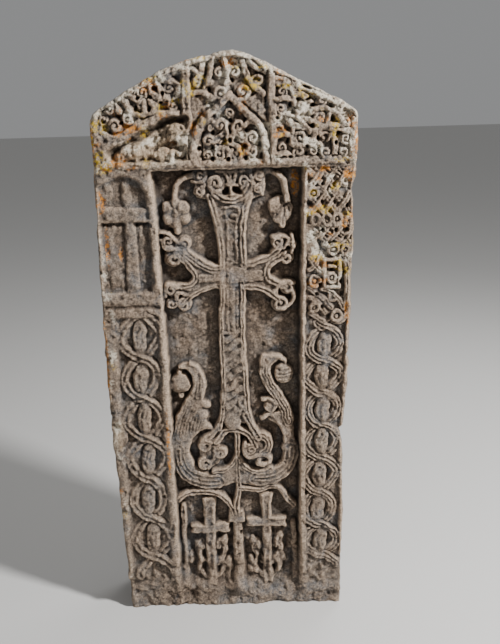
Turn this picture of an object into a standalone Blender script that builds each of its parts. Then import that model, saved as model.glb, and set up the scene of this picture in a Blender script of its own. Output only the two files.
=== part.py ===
"""A khachkar: an upright memorial slab of volcanic stone, carved on its front with a cross.

The slab is one stone, so it is one solid. Its front is drawn as a plan of break lines, the feet and
crests of every carved strand, plate and hollow, which a Delaunay triangulation joins into one skin.
Each corner of the skin then takes its level from the same strands, plates and hollows. The skin's rim
is carried back to make the sides, and closed by a flat back.

The plan is in centimetres: x to the right, z up from the ground, and a level is how far a surface
stands in front of the slab's face (0) or lies behind it (below 0). The finished mesh is in metres,
with +Z up, the carved front towards -Y and the origin under the middle of the slab.
"""

import math

import bmesh
import bpy
import numpy as np
from mathutils import Vector
from mathutils.geometry import delaunay_2d_cdt

CM = 0.01

# Driving sizes of the slab, in centimetres
THICKNESS = 26.0
SHOULDER_LEFT = (-40.2, 165.0)
SHOULDER_RIGHT = (40.1, 164.5)
APEX = (2.0, 183.7)
FOOT_LEFT, FOOT_RIGHT = -37.6, 34.3
ARRIS = 1.1
LEFT_BULGE, BULGE_Z, BULGE_REACH = 1.8, 120, 26
BACK_EDGE = 1.2
SIDE_BREAKS = (0.42, 0.86)  # where the sides change their slope, as shares of the thickness
LEFT_SIDE = -30.0           # every corner of the rim further left than this belongs to the left side

# Levels in front of the face, in centimetres
CORNICE_STEP, CORNICE_LEAN = 0.8, 1.2
CORNICE_FOOT, CORNICE_RUN = 150.2, 0.6
PANEL_LEVEL = -6.0
CROSS_LEVEL = -2.6
LEAF_LEVEL = -3.4
BAND_LEVEL = -1.7
NICHE_LEVEL = -2.8
SCAR_LEVEL = -2.2

# How the plan is drawn, in centimetres
STATION = 2.8
WALL_RUN = 0.7
LEAST_GAP = 0.12
FLAT_ANGLE = math.radians(6)


def smooth_path(*knots, step=STATION):
    """A smooth curve through a few knots, as points about a step apart."""
    knots = np.array(knots, float)
    ends = np.vstack([2 * knots[0] - knots[1], knots, 2 * knots[-1] - knots[-2]])
    points = []
    for a, b, c, d in zip(ends, ends[1:], ends[2:], ends[3:]):
        count = max(1, round(float(np.hypot(*(c - b))) / step))
        for t in np.arange(count) / count:
            points.append(0.5 * (2 * b + (c - a) * t + (2 * a - 5 * b + 4 * c - d) * t**2
                                 + (3 * b - a - 3 * c + d) * t**3))
    return np.array([*points, knots[-1]])


def arc(centre, radius, start, end, step=STATION):
    """A round arc between two angles, in degrees from +x."""
    length = radius * math.radians(abs(end - start))
    turns = np.radians(np.linspace(start, end, max(3, round(length / step) + 1)))
    return np.column_stack([centre[0] + radius * np.cos(turns), centre[1] + radius * np.sin(turns)])


def ring(centre, radius, sides=7, squash=1.0):
    """A closed round outline. squash stretches it upwards."""
    turns = np.linspace(0, 2 * math.pi, sides, endpoint=False) + math.pi / sides
    return np.column_stack([
        centre[0] + radius * np.cos(turns),
        centre[1] + squash * radius * np.sin(turns),
    ])


def spiral(centre, radius, start, turns, hand=1):
    """A volute that winds inwards to a third of its radius. hand 1 is anticlockwise."""
    count = max(5, round(abs(turns) * 6) + 1)
    share = np.linspace(0, 1, count)
    angle = math.radians(start) + hand * share * turns * 2 * math.pi
    reach = radius * (1 - 0.67 * share)
    return np.column_stack([centre[0] + reach * np.cos(angle), centre[1] + reach * np.sin(angle)])


def anticlockwise(outline):
    """The outline with its corners in anticlockwise order."""
    outline = np.asarray(outline, float)
    x, z = outline.T
    area = np.sum(x * np.roll(z, -1) - np.roll(x, -1) * z)
    return outline if area > 0 else outline[::-1]


def box(left, bottom, right, top):
    return np.array([(left, bottom), (right, bottom), (right, top), (left, top)], float)


def offset(path, distance, closed=False):
    """The path moved sideways, to its left, with its corners mitred."""
    path = np.asarray(path, float)
    before, after = np.roll(path, 1, 0), np.roll(path, -1, 0)
    if not closed:
        before[0], after[-1] = 2 * path[0] - path[1], 2 * path[-1] - path[-2]
    first, second = path - before, after - path
    normals = []
    for a, b in zip(first, second):
        a, b = a / max(np.hypot(*a), 1e-9), b / max(np.hypot(*b), 1e-9)
        middle = np.array([-(a + b)[1], (a + b)[0]])
        middle /= max(np.hypot(*middle), 1e-9)
        normals.append(middle / max(middle @ np.array([-a[1], a[0]]), 0.6))
    return path + distance * np.array(normals)


def distance_to(path, x, z, closed=False):
    """How far each point lies from a path, and how far along it, from 0 to 1, its nearest point is."""
    path = np.asarray(path, float)
    ends = np.roll(path, -1, 0) if closed else path[1:]
    starts = path if closed else path[:-1]
    nearest, along = np.full(x.shape, np.inf), np.zeros(x.shape)
    for i, (a, b) in enumerate(zip(starts, ends)):
        run = b - a
        t = ((x - a[0]) * run[0] + (z - a[1]) * run[1]) / max(run @ run, 1e-12)
        t = np.clip(t, 0, 1)
        away = np.hypot(x - a[0] - t * run[0], z - a[1] - t * run[1])
        closer = away < nearest
        nearest = np.where(closer, away, nearest)
        along = np.where(closer, (i + t) / len(starts), along)
    return nearest, along


def inside(outline, x, z):
    """Whether each point lies inside a closed outline."""
    within = np.zeros(x.shape, bool)
    for (ax, az), (bx, bz) in zip(outline, np.roll(outline, -1, 0)):
        spans = (az > z) != (bz > z)
        rise = bz - az if abs(bz - az) > 1e-9 else 1e-9
        within ^= spans & (x < ax + (z - az) * (bx - ax) / rise)
    return within


class Relief:
    """The carved front: the break lines of its plan, and the steps that give a point its level."""

    def __init__(self, outline):
        self.outline, self.lines, self.steps = outline, [], []

    def draw(self, path, closed=False):
        self.lines.append((np.asarray(path, float), closed))

    def level(self, x, z):
        levels = np.zeros(x.shape)
        for step in self.steps:
            levels = step(x, z, levels)
        return levels

    def sink(self, outline, level, run=WALL_RUN):
        """Cuts the ground inside an outline down to a level, with walls that slope over a run."""
        outline = anticlockwise(outline)
        self.draw(outline, closed=True)
        self.draw(offset(outline, run, closed=True), closed=True)

        def step(x, z, levels):
            away, _ = distance_to(outline, x, z, closed=True)
            share = np.clip(away / run, 0, 1) * inside(outline, x, z)
            return np.minimum(levels, levels + (level - levels) * share)

        self.steps.append(step)

    def plate(self, outline, level, run=WALL_RUN):
        """Leaves a flat-topped piece standing at a level, with walls that slope outwards over a run."""
        outline = anticlockwise(outline)
        self.draw(outline, closed=True)
        self.draw(offset(outline, -run, closed=True), closed=True)

        def step(x, z, levels):
            away, _ = distance_to(outline, x, z, closed=True)
            share = np.where(inside(outline, x, z), 1, 1 - np.clip(away / run, 0, 1))
            return np.maximum(levels, levels + (level - levels) * share)

        self.steps.append(step)

    def strand(self, path, half, crest, base, grooved=False, weave=None):
        """Leaves a strand of a half width standing along a path. A grooved one has two ridges.
        weave gives the crest's rise or fall along the strand, where it passes over and under."""
        across, rise = ((0, 0.55, 1), (0.45, 1, 0)) if grooved else ((0, 1), (1, 0))
        for share in across:
            for side in (1, -1) if share else (1,):
                self.draw(offset(path, side * share * half))

        def step(x, z, levels):
            away, along = distance_to(path, x, z)
            top = crest + (weave(along) if weave else 0)
            shape = np.interp(away / half, across, rise)
            raised = np.where(shape > 0, base + (top - base) * shape, levels)
            return np.maximum(levels, raised)

        self.steps.append(step)

    def dome(self, outline, level, base, crown=0.55):
        """Leaves a rounded boss standing on an outline."""
        outline = anticlockwise(outline)
        centre = outline.mean(0)
        shoulder = centre + crown * (outline - centre)
        self.draw(outline, closed=True)
        self.draw(shoulder, closed=True)

        def step(x, z, levels):
            away, _ = distance_to(outline, x, z, closed=True)
            reach = distance_to(outline, *centre[:, None], closed=True)[0][0] * (1 - crown)
            share = np.clip(away / reach, 0, 1) * inside(outline, x, z)
            return np.maximum(levels, np.where(share > 0, base + (level - base) * share, levels))

        self.steps.append(step)

    def eye(self, centre, radius, level, base, squash=1.0, sides=7):
        """A round boss with a drilled middle, as at the heart of each knot."""
        rim = ring(centre, radius, sides, squash)
        self.draw(rim, closed=True)
        self.draw(centre + 0.6 * (rim - centre), closed=True)
        self.draw([centre, (centre[0] + 0.1, centre[1])])

        def step(x, z, levels):
            away = np.hypot(x - centre[0], (z - centre[1]) / squash) / radius
            share = np.interp(away, (0, 0.6, 1), (0.35, 1, 0), right=0)
            return np.maximum(levels, np.where(share > 0, base + (level - base) * share, levels))

        self.steps.append(step)


def slab_outline():
    """The slab seen from the front: a gabled head, worn sides, and a flat foot cut at the ground."""
    left = [(FOOT_LEFT, 0), (-38.8, 33), (-40.2, 60), (-40.6, 90), (-40.4, 122), SHOULDER_LEFT]
    head = [(-38.6, 168.2), (-24, 176.2), (-9, 181.8), (-4.2, 182), APEX, (8, 182.4), (38.2, 167.4)]
    right = [SHOULDER_RIGHT, (39.7, 146.5), (38.4, 142.5), (39, 131), (37.4, 93), (36.6, 80),
             (35.9, 67.5), (34.4, 63.8), (35.2, 60), (34.8, 30), (FOOT_RIGHT, 0)]
    return np.array([*left, *head, *right], float)[::-1]


def slab_face(relief):
    """The face's own shape: the cornice stands forward and leans out, and the arris is worn round."""
    rim = relief.outline
    relief.draw(offset(rim, ARRIS))
    relief.draw([(-39.2, CORNICE_FOOT), (38.6, CORNICE_FOOT)])
    relief.draw([(-39.2, CORNICE_FOOT - CORNICE_RUN), (38.6, CORNICE_FOOT - CORNICE_RUN)])

    def step(x, z, levels):
        up = np.clip((z - CORNICE_FOOT) / (APEX[1] - CORNICE_FOOT), 0, 1)
        stands = CORNICE_STEP * np.clip((z - CORNICE_FOOT + CORNICE_RUN) / CORNICE_RUN, 0, 1)
        away, _ = distance_to(rim, x, z)
        return levels + stands + CORNICE_LEAN * up - ARRIS * (1 - np.clip(away / ARRIS, 0, 1))

    relief.steps.append(step)


def volute_lobe(relief, x, z, radius, start, hand):
    """One round lobe at the end of a cross arm, with a coiled strand on it."""
    relief.plate(ring((x, z), radius), CROSS_LEVEL - 0.6)
    relief.strand(spiral((x, z), 0.8 * radius, start, 1.0, hand), 0.55, CROSS_LEVEL + 0.7, CROSS_LEVEL - 0.6)


# The main cross: its axis, the half widths of its limbs, and the lobes that end them
CROSS_X = 0.9
CROSS_MIDDLE = 115.6
STEM_FOOT, LIMB_TOP = 65.0, 139.5
LOBES = [
    # x, z, radius, the angle where the coil starts, and its hand
    (-3.4, 144.6, 3.0, 240, 1), (-8.6, 142.2, 2.0, 90, -1), (-8.3, 147.0, 1.7, 0, 1),
    (5.4, 144.6, 2.9, 300, -1), (9.6, 142.0, 2.0, 90, 1), (10.0, 147.0, 1.7, 180, -1),
    (-13.4, 126.4, 2.3, 270, 1), (-18.7, 126.6, 2.2, 0, -1), (-17.4, 121.8, 2.2, 90, -1),
    (15.3, 125.6, 2.4, 270, -1), (17.9, 120.6, 2.0, 90, 1),
    (-18.4, 111.4, 2.2, 0, 1), (-15.6, 106.8, 2.2, 90, 1), (-19.4, 106.6, 1.4, 0, 1),
    (18.3, 111.4, 2.3, 180, -1), (15.9, 106.5, 2.3, 90, -1),
    (-5.3, 56.4, 2.7, 120, -1), (-10.0, 58.8, 2.5, 30, 1), (-10.0, 53.0, 2.6, 90, 1),
    (5.4, 57.2, 2.6, 60, 1), (10.3, 59.6, 2.6, 150, -1), (9.3, 53.0, 2.6, 90, -1),
]


def cross_limb(root, root_half, end, end_half, waist_at):
    """The outline of a limb that flares from its root to its end, mostly past its waist."""
    a, b = np.array(root, float), np.array(end, float)
    along = (b - a) / np.hypot(*(b - a))
    across = np.array([-along[1], along[0]])
    waist = a + (b - a) * waist_at
    waist_half = root_half + 0.2 * (end_half - root_half)
    return np.array([
        a - across * root_half, waist - across * waist_half, b - across * end_half,
        b + across * end_half, waist + across * waist_half, a + across * root_half,
    ])


def main_cross(relief):
    """A Latin cross with flared limbs, edged with fillets and ending in coiled lobes."""
    limbs = [
        cross_limb((CROSS_X, CROSS_MIDDLE), 4.0, (CROSS_X, LIMB_TOP), 6.6, 0.45),
        cross_limb((CROSS_X, CROSS_MIDDLE + 2), 3.6, (CROSS_X - 0.6, STEM_FOOT), 5.2, 0.8),
        cross_limb((CROSS_X - 1, CROSS_MIDDLE), 2.9, (-13.2, CROSS_MIDDLE), 6.4, 0.5),
        cross_limb((CROSS_X + 1, CROSS_MIDDLE), 2.9, (13.4, CROSS_MIDDLE), 6.2, 0.5),
    ]
    for outline in limbs:
        relief.plate(outline, CROSS_LEVEL - 0.5)
    for x, z, radius, start, hand in LOBES:
        volute_lobe(relief, x, z, radius, start, hand)
    fillet = dict(half=0.7, crest=CROSS_LEVEL + 0.6, base=PANEL_LEVEL)
    edges = [
        smooth_path((-5.0, 64.5), (-3.6, 72), (-3.0, 95), (-2.6, 112.6), step=12),
        smooth_path((5.6, 66), (4.4, 73), (4.1, 95), (4.0, 112.6), step=12),
        smooth_path((-3.0, 118.4), (-3.0, 128), (-4.6, 136), (-6.6, 140.6), step=5),
        smooth_path((4.8, 118.4), (4.9, 128), (6.0, 136), (7.6, 140.6), step=5),
        smooth_path((-3.4, 118.6), (-8, 120), (-12.4, 123.2), (-14.8, 127)),
        smooth_path((-3.4, 112.6), (-8, 111.8), (-12.6, 109.6), (-15.2, 107)),
        smooth_path((5.2, 118.8), (9, 119.8), (13, 122.2), (15.6, 126)),
        smooth_path((5.2, 112.8), (9, 112.2), (13, 110), (15.8, 106.6)),
        smooth_path((-16.8, 122.6), (-13.4, 119.4), (-11.4, 115.6), (-13.4, 113), (-18, 111.4)),
        smooth_path((17.4, 121), (13.2, 119), (11.8, 116), (13.6, 113), (17.8, 111.6)),
        smooth_path((-5.8, 144.2), (-3.4, 140.4), (1.0, 138.8), (5.6, 140.6), (7.8, 144.2)),
    ]
    for path in edges:
        relief.strand(path, **fillet)
    foot = smooth_path((-6.4, 59), (-3.6, 62.4), (0.8, 64), (4.6, 61.8), (7.2, 57.6))
    relief.strand(foot, 0.9, CROSS_LEVEL + 0.3, PANEL_LEVEL)
    relief.plate(box(-0.2, 48.5, 1.5, 63), LEAF_LEVEL)


def hanging_fruit(relief, stalk, x, z, radius):
    """A fruit or a bunch that hangs on a curved stalk beside the cross."""
    relief.strand(stalk, 0.8, LEAF_LEVEL, PANEL_LEVEL)
    relief.dome(ring((x, z), radius, 8, 1.05), LEAF_LEVEL + 0.6, PANEL_LEVEL)


def cradle_leaves(relief):
    """Two great half leaves that rise under the cross, round its foot, and curl over at their tips."""
    left = [(0.4, 46.4), (-5, 44.4), (-11, 43.6), (-16.2, 46), (-19.8, 51), (-20.6, 60), (-19, 70),
            (-14.2, 76.5), (-13.2, 82), (-15.2, 85.4), (-17.2, 86.6), (-14, 88), (-10.4, 85.8),
            (-8.9, 81), (-10.4, 76), (-9, 73.4), (-8.6, 70), (-11, 68), (-7.4, 64.2), (-12, 64),
            (-14.8, 58), (-13.4, 51.8), (-8.4, 48.4), (-2, 50.2)]
    right = [(0.8, 46.4), (1.6, 51.6), (6, 48.8), (11.4, 48.8), (15.8, 52), (17, 58), (15.4, 63.6),
             (10.6, 67.6), (14.2, 69.2), (12.8, 74), (9.4, 79), (8.7, 84.4), (10.6, 88.6),
             (14.2, 89), (17.8, 85.6), (13.8, 86.4), (12.4, 82.4), (14.6, 77), (17.8, 70.6),
             (19.4, 65), (19.9, 54), (17.6, 48.4), (12.6, 45), (6, 44.2)]
    relief.plate(left, LEAF_LEVEL)
    relief.plate(right, LEAF_LEVEL)
    rib = dict(half=0.6, crest=LEAF_LEVEL + 0.8, base=LEAF_LEVEL - 0.4)
    ribs = [
        smooth_path((0.2, 46.6), (-5, 45), (-11, 44.2), (-15.8, 46.6), (-19.2, 51.6)),
        smooth_path((-15.6, 58), (-14.2, 51.8), (-11.4, 49)),
        smooth_path((-9.8, 76.8), (-9.6, 81), (-11, 85.2), (-14, 87.4), (-17, 86.8)),
        smooth_path((1.0, 46.8), (6, 44.9), (12.4, 45.8), (17, 49)),
        smooth_path((2.2, 51.4), (6.4, 48.2), (11.4, 48.2)),
        smooth_path((18.4, 66.4), (14.2, 74), (9.8, 79.4), (9.3, 84), (11, 88), (14.2, 88.6), (17.4, 86)),
    ]
    for path in ribs:
        relief.strand(path, **rib)
    relief.dome(ring((-17.4, 80.6), 3.1, 8), LEAF_LEVEL + 0.6, PANEL_LEVEL)
    relief.dome(ring((16.2, 83.0), 2.8, 8, 1.15), LEAF_LEVEL + 0.4, PANEL_LEVEL)
    relief.dome(ring((11.4, 71.8), 2.1), LEAF_LEVEL + 0.4, PANEL_LEVEL)


def small_cross(relief, x, arm_z, top, foot, half, reach):
    """A plain cross, of two bars, under one of the two lower arches."""
    relief.plate(box(x - half, foot, x + half, top), LEAF_LEVEL)
    relief.plate(box(x - reach, arm_z - half * 0.8, x + reach, arm_z + half * 0.8), LEAF_LEVEL + 0.3)


def lower_arcade(relief):
    """Two small arches on a middle column, each with a cross of its own, at the foot of the panel."""
    relief.plate(box(-1.3, 9, 1.3, 34), LEAF_LEVEL)
    arch = dict(half=0.9, crest=LEAF_LEVEL + 0.9, base=PANEL_LEVEL)
    relief.strand(arc((-9.4, 33.6), 8.2, 178, 2), **arch)
    relief.strand(smooth_path((0.6, 42.6), (5, 42.2), (10, 43), (14.2, 42), (16.6, 39), (18.8, 37)), **arch)
    relief.strand(smooth_path((0.4, 46), (0.4, 42.6), (-0.2, 36)), **arch)
    small_cross(relief, -9.6, 29, 39.4, 9, 1.9, 6.6)
    small_cross(relief, 10.2, 30.2, 40.4, 9, 1.9, 7.0)


def central_panel(relief):
    """The deep panel with everything that was left standing in it."""
    recess = [(-20.9, 7), (20.8, 7), (21.4, 60), (22.6, 148.9), (-21.9, 148.9), (-21, 60)]
    relief.sink(recess, PANEL_LEVEL, run=0.9)
    cradle_leaves(relief)
    main_cross(relief)
    hanging_fruit(relief, smooth_path((-9.6, 146.6), (-13.6, 146.4), (-16.2, 144), (-16, 139)),
                  -15.6, 136.2, 4.1)
    hanging_fruit(relief, smooth_path((11.4, 146.8), (15.4, 146), (17.6, 142.6), (18.6, 138)),
                  16.2, 136.2, 3.4)
    lower_arcade(relief)


# The two chains of knots that run up the side bands: the middle line, from the bottom eye to the
# top one, the number of eyes, and how far the ribbons swing to each side
RIGHT_CHAIN = dict(low=(27.2, 24.4), high=(29.2, 93.4), eyes=7, swing=4.5)
LEFT_CHAIN = dict(low=(-29.0, 27.2), high=(-29.4, 95.6), eyes=6, swing=4.8)
RIBBON_HALF, RIBBON_CREST = 1.25, -0.45
WEAVE_LIFT = 0.35
EYE_RADIUS, EYE_CREST = 2.4, -0.4
EYE_SHARE = 0.36  # an eye's half height, as a share of the pitch between eyes


def chain(relief, low, high, eyes, swing):
    """Two grooved ribbons that cross between the eyes and swing out round each of them."""
    low, high = np.array(low), np.array(high)
    pitch = (high[1] - low[1]) / (eyes - 1)
    turns = np.linspace(-0.85, eyes - 0.25, round((eyes + 0.6) * 4))
    middle = low + np.outer(turns / (eyes - 1), high - low)
    for hand in (1, -1):
        path = middle + np.column_stack([hand * swing * np.cos(math.pi * turns), 0 * turns])

        def over_and_under(along, hand=hand):
            return WEAVE_LIFT * hand * np.sin(math.pi * np.interp(along, (0, 1), (turns[0], turns[-1])))

        relief.strand(path, RIBBON_HALF, RIBBON_CREST, BAND_LEVEL - 0.4, grooved=True, weave=over_and_under)
    for i in range(eyes):
        x, z = low + (high - low) * i / (eyes - 1)
        relief.eye((x, z), EYE_RADIUS, EYE_CREST, BAND_LEVEL, squash=EYE_SHARE * pitch / EYE_RADIUS)


def openwork(relief, field, rows, columns, radius, level):
    """Sinks a field and leaves drilled rings in rows, with strands that cross between the rows."""
    base = BAND_LEVEL
    relief.sink(field, base)

    def within(*ends):
        return all(inside(anticlockwise(field), np.array(x), np.array(z)) for x, z in ends)

    for z in rows:
        for x in columns:
            if within((x, z)):
                relief.eye((x, z), radius, level, base, sides=6)
    for low, high in zip(rows, rows[1:]):
        for left, right in zip(columns, columns[1:]):
            for start, end, top in ((left, right, level - 0.1), (right, left, level - 0.5)):
                if within((left, high), (right, high)):
                    relief.strand([(start, high - radius), (end, low + radius)], 0.7, top, base)


def left_band(relief):
    """The left band: an arched niche with a plain cross above, and a chain of knots below."""
    niche = [(-38.0, 110), (-23, 110), (-22.9, 139.5), (-24.6, 144.6), (-28, 147.6), (-31, 148.4),
             (-35, 147.4), (-37.6, 143)]
    relief.sink(niche, NICHE_LEVEL, run=0.8)
    relief.plate(box(-32.0, 110.4, -28.6, 146.4), NICHE_LEVEL + 1.6)
    relief.plate(box(-37.4, 134.4, -23.6, 137.6), NICHE_LEVEL + 1.9)
    relief.plate(box(-34.4, 110.4, -26.2, 113.6), NICHE_LEVEL + 1.9)
    relief.strand([(-37.6, 108.6), (-23, 108.6)], 1.4, 0.5, -0.5)
    relief.sink(box(-36.2, 17, -22.9, 105.6), BAND_LEVEL)
    chain(relief, **LEFT_CHAIN)


def right_band(relief):
    """The right band: openwork of rings above, and a chain of knots below."""
    field = [(22.6, 16), (33.7, 16), (34, 60), (35.4, 80), (37.6, 120), (37.2, 134), (37.9, 149), (24, 149)]
    openwork(relief, field, (104.6, 114.4, 123.8, 132.8, 140.8, 146.6), (26.2, 30.6, 35.0), 1.9, -0.3)
    chain(relief, **RIGHT_CHAIN)


def cornice_right(relief):
    """Openwork of rings and diagonals that fills the right half of the cornice."""
    field = [(15.6, 152.2), (38.0, 152.2), (38.6, 163.6), (36.6, 165.6), (15.6, 176)]
    openwork(relief, field, (154.4, 160.4, 166.2, 171.6), (18.0, 23.4, 28.8, 34.8), 1.8, CORNICE_STEP)


def cornice_left(relief):
    """What is left of the knotwork on the cornice's left half, above the scar of a lost flake."""
    top = CORNICE_STEP
    field = [(-36, 160.6), (-26.6, 165.4), (-12.4, 166), (-12.4, 176.6), (-22, 174.4), (-35.4, 167)]
    relief.sink(field, BAND_LEVEL + top)
    knots = [
        smooth_path((-36.4, 164), (-34.4, 160.6), (-31.6, 159.6), (-27.6, 162.4), (-25.8, 165.6)),
        smooth_path((-31, 169.6), (-27.4, 166.8), (-23.4, 165.8), (-19.4, 167), (-17.6, 171)),
        smooth_path((-27.4, 172.2), (-25.8, 168), (-23.2, 170.6), (-20.6, 166.6)),
        smooth_path((-23.4, 174.4), (-21.6, 170.4), (-16.4, 170), (-13.6, 170.6), (-13.8, 175.4)),
        smooth_path((-19.6, 175.6), (-17.8, 172.6), (-15.8, 175.4)),
    ]
    for path in knots:
        relief.strand(path, 0.95, top + 0.1, BAND_LEVEL)
    for centre in ((-27.8, 165.0), (-32.2, 162.4), (-23.4, 172)):
        relief.eye(centre, 1.8, top, BAND_LEVEL)
    scar = [(-34, 151.4), (-10.4, 151.4), (-9.6, 164.6), (-17, 164.4), (-25, 161.4), (-33.6, 155.4)]
    relief.sink(scar, SCAR_LEVEL, run=2.0)
    relief.dome(ring((-13.4, 160), 3.2), -0.6, SCAR_LEVEL)
    relief.dome(ring((-18.6, 153.6), 2.0), -0.8, SCAR_LEVEL)


def tympanum(relief):
    """The cornice's middle: a pointed arch full of scrolls between two posts, and scrolls above it."""
    top = CORNICE_STEP
    relief.sink([(-9.2, 151.8), (12.2, 151.8), (12.2, 176.4), (4, 179.4), (-9.2, 178)], BAND_LEVEL + top)
    limb = dict(half=1.1, crest=top + 0.4, base=BAND_LEVEL)
    relief.strand(smooth_path((-8.8, 152.4), (-8.8, 158.4), (-6.2, 163.6), (-1.4, 167), (2.4, 170.2)), **limb)
    relief.strand(smooth_path((11.8, 152.4), (11.6, 158.4), (9.4, 163.4), (5.6, 167), (2.4, 170.2)), **limb)
    thin = dict(half=0.6, crest=top + 0.1, base=BAND_LEVEL)
    scrolls = [
        (-0.9, 161.4, 2.1, 300, 1), (4.5, 161.4, 2.1, 240, -1), (-5.2, 156.8, 2.2, 0, 1),
        (7.6, 156.6, 2.2, 180, -1), (-1.8, 153.8, 1.9, 60, -1), (4.6, 153.8, 1.9, 120, 1),
        (-1.0, 172.4, 2.2, 300, -1), (5.6, 172.4, 2.3, 240, 1), (-6.6, 174.2, 2.0, 300, 1),
        (9.6, 174.2, 1.9, 240, -1), (-0.6, 177.2, 1.5, 0, 1), (3.6, 177.4, 1.4, 180, -1),
    ]
    for x, z, radius, start, hand in scrolls:
        relief.strand(spiral((x, z), radius, start, 1.15, hand), **thin)
    for path in (
        smooth_path((0.2, 159.6), (1.8, 157.4), (4.2, 155.6)),
        smooth_path((3.4, 159.6), (1.8, 157.4), (-0.8, 155.6)),
        smooth_path((-3.2, 156.8), (-2.2, 159.2), (0, 158.8)),
    ):
        relief.strand(path, **thin)
    relief.dome([(8, 170.6), (8.4, 167.6), (11.6, 165), (12, 170)], top, BAND_LEVEL)
    relief.dome([(-8.4, 170.6), (-8, 165), (-4.6, 167.6), (-4.8, 170.6)], top, BAND_LEVEL)


def carve():
    """The whole front, from the face's own shape to the last strand."""
    relief = Relief(slab_outline())
    cornice_left(relief)
    cornice_right(relief)
    tympanum(relief)
    left_band(relief)
    right_band(relief)
    central_panel(relief)
    slab_face(relief)
    return relief


def front_skin(relief):
    """A bmesh of the carved front, from the plan's break lines, with y at minus its level."""
    points, edges = [], []
    for path, closed in relief.lines:
        first = len(points)
        points += [Vector(p) for p in path]
        edges += [(i, i + 1) for i in range(first, len(points) - 1)]
        if closed:
            edges.append((len(points) - 1, first))
    rim = list(range(len(points), len(points) + len(relief.outline)))
    points += [Vector(p) for p in relief.outline]
    corners, _, faces, *_ = delaunay_2d_cdt(points, edges, [rim], 1, LEAST_GAP)
    plan = np.array([tuple(c) for c in corners])
    levels = relief.level(plan[:, 0], plan[:, 1])
    skin = bmesh.new()
    made = [skin.verts.new((x, -level, z)) for (x, z), level in zip(plan, levels)]
    for face in faces:
        skin.faces.new([made[i] for i in face])
    return skin


def close_slab(skin):
    """Carries the skin's rim back to make the sides, bulging on the left, and closes the back."""
    rings = [  # the depth behind the face, how far the left side swells there, and how far the rim draws in
        (SIDE_BREAKS[0] * THICKNESS, LEFT_BULGE, 0.0),
        (SIDE_BREAKS[1] * THICKNESS, -0.2 * LEFT_BULGE, 0.0),
        (THICKNESS - CORNICE_STEP - CORNICE_LEAN, 0.0, BACK_EDGE),
    ]
    rim = [edge for edge in skin.edges if edge.is_boundary]
    for depth, swell, inset in rings:
        moved = bmesh.ops.extrude_edge_only(skin, edges=rim)["geom"]
        rim = [item for item in moved if isinstance(item, bmesh.types.BMEdge) and item.is_boundary]
        for corner in {end for edge in rim for end in edge.verts}:
            x, _, z = corner.co
            out = swell * math.exp(-(((z - BULGE_Z) / BULGE_REACH) ** 2)) if x < LEFT_SIDE else 0
            down = inset if z > SHOULDER_LEFT[1] else 0
            corner.co = (x - out - math.copysign(inset, x), depth, z - down)
    bmesh.ops.triangle_fill(skin, edges=rim, use_beauty=True)


def stone_material():
    """Weathered volcanic stone, grey brown and quite dull."""
    material = bpy.data.materials.new("weathered_volcanic_stone")
    material.use_nodes = True
    shader = material.node_tree.nodes["Principled BSDF"]
    shader.inputs["Base Color"].default_value = (0.155, 0.122, 0.098, 1)
    shader.inputs["Roughness"].default_value = 0.9
    shader.inputs["Metallic"].default_value = 0
    return material


def main():
    for obj in list(bpy.data.objects):
        bpy.data.objects.remove(obj)
    collection = bpy.data.collections.new("khachkar")
    bpy.context.scene.collection.children.link(collection)
    skin = front_skin(carve())
    bmesh.ops.dissolve_limit(skin, angle_limit=FLAT_ANGLE, verts=skin.verts, edges=skin.edges)
    bmesh.ops.triangulate(skin, faces=skin.faces)
    close_slab(skin)
    bmesh.ops.triangulate(skin, faces=skin.faces)
    bmesh.ops.recalc_face_normals(skin, faces=skin.faces)
    across = [corner.co.x for corner in skin.verts]
    deep = [corner.co.y for corner in skin.verts]
    middle = Vector(((min(across) + max(across)) / 2, (min(deep) + max(deep)) / 2, 0))
    bmesh.ops.translate(skin, verts=skin.verts, vec=-middle)
    bmesh.ops.scale(skin, verts=skin.verts, vec=(CM, CM, CM))
    mesh = bpy.data.meshes.new("khachkar_stone")
    skin.to_mesh(mesh)
    skin.free()
    mesh.materials.append(stone_material())
    stone = bpy.data.objects.new("khachkar_stone", mesh)
    collection.objects.link(stone)


main()
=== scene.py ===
import math

import bpy
import numpy as np
from mathutils import Matrix, Vector


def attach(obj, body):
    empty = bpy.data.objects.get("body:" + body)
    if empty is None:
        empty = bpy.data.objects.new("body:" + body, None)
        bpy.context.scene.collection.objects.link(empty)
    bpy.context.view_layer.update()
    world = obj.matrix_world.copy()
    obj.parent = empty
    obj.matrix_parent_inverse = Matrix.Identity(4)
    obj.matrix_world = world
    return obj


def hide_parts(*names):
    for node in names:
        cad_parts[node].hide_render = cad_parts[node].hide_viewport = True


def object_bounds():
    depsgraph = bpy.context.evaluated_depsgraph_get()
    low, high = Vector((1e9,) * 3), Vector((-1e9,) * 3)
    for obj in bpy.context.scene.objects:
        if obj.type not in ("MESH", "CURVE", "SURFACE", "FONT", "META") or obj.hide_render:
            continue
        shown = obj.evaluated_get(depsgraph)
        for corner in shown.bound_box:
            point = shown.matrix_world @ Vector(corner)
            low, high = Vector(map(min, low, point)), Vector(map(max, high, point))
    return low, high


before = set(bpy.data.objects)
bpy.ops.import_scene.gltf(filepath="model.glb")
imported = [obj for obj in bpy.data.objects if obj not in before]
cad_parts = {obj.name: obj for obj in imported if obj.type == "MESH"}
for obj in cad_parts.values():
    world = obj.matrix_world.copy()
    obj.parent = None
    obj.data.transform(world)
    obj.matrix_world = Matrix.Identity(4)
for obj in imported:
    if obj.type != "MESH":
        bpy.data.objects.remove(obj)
cad_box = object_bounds()

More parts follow.
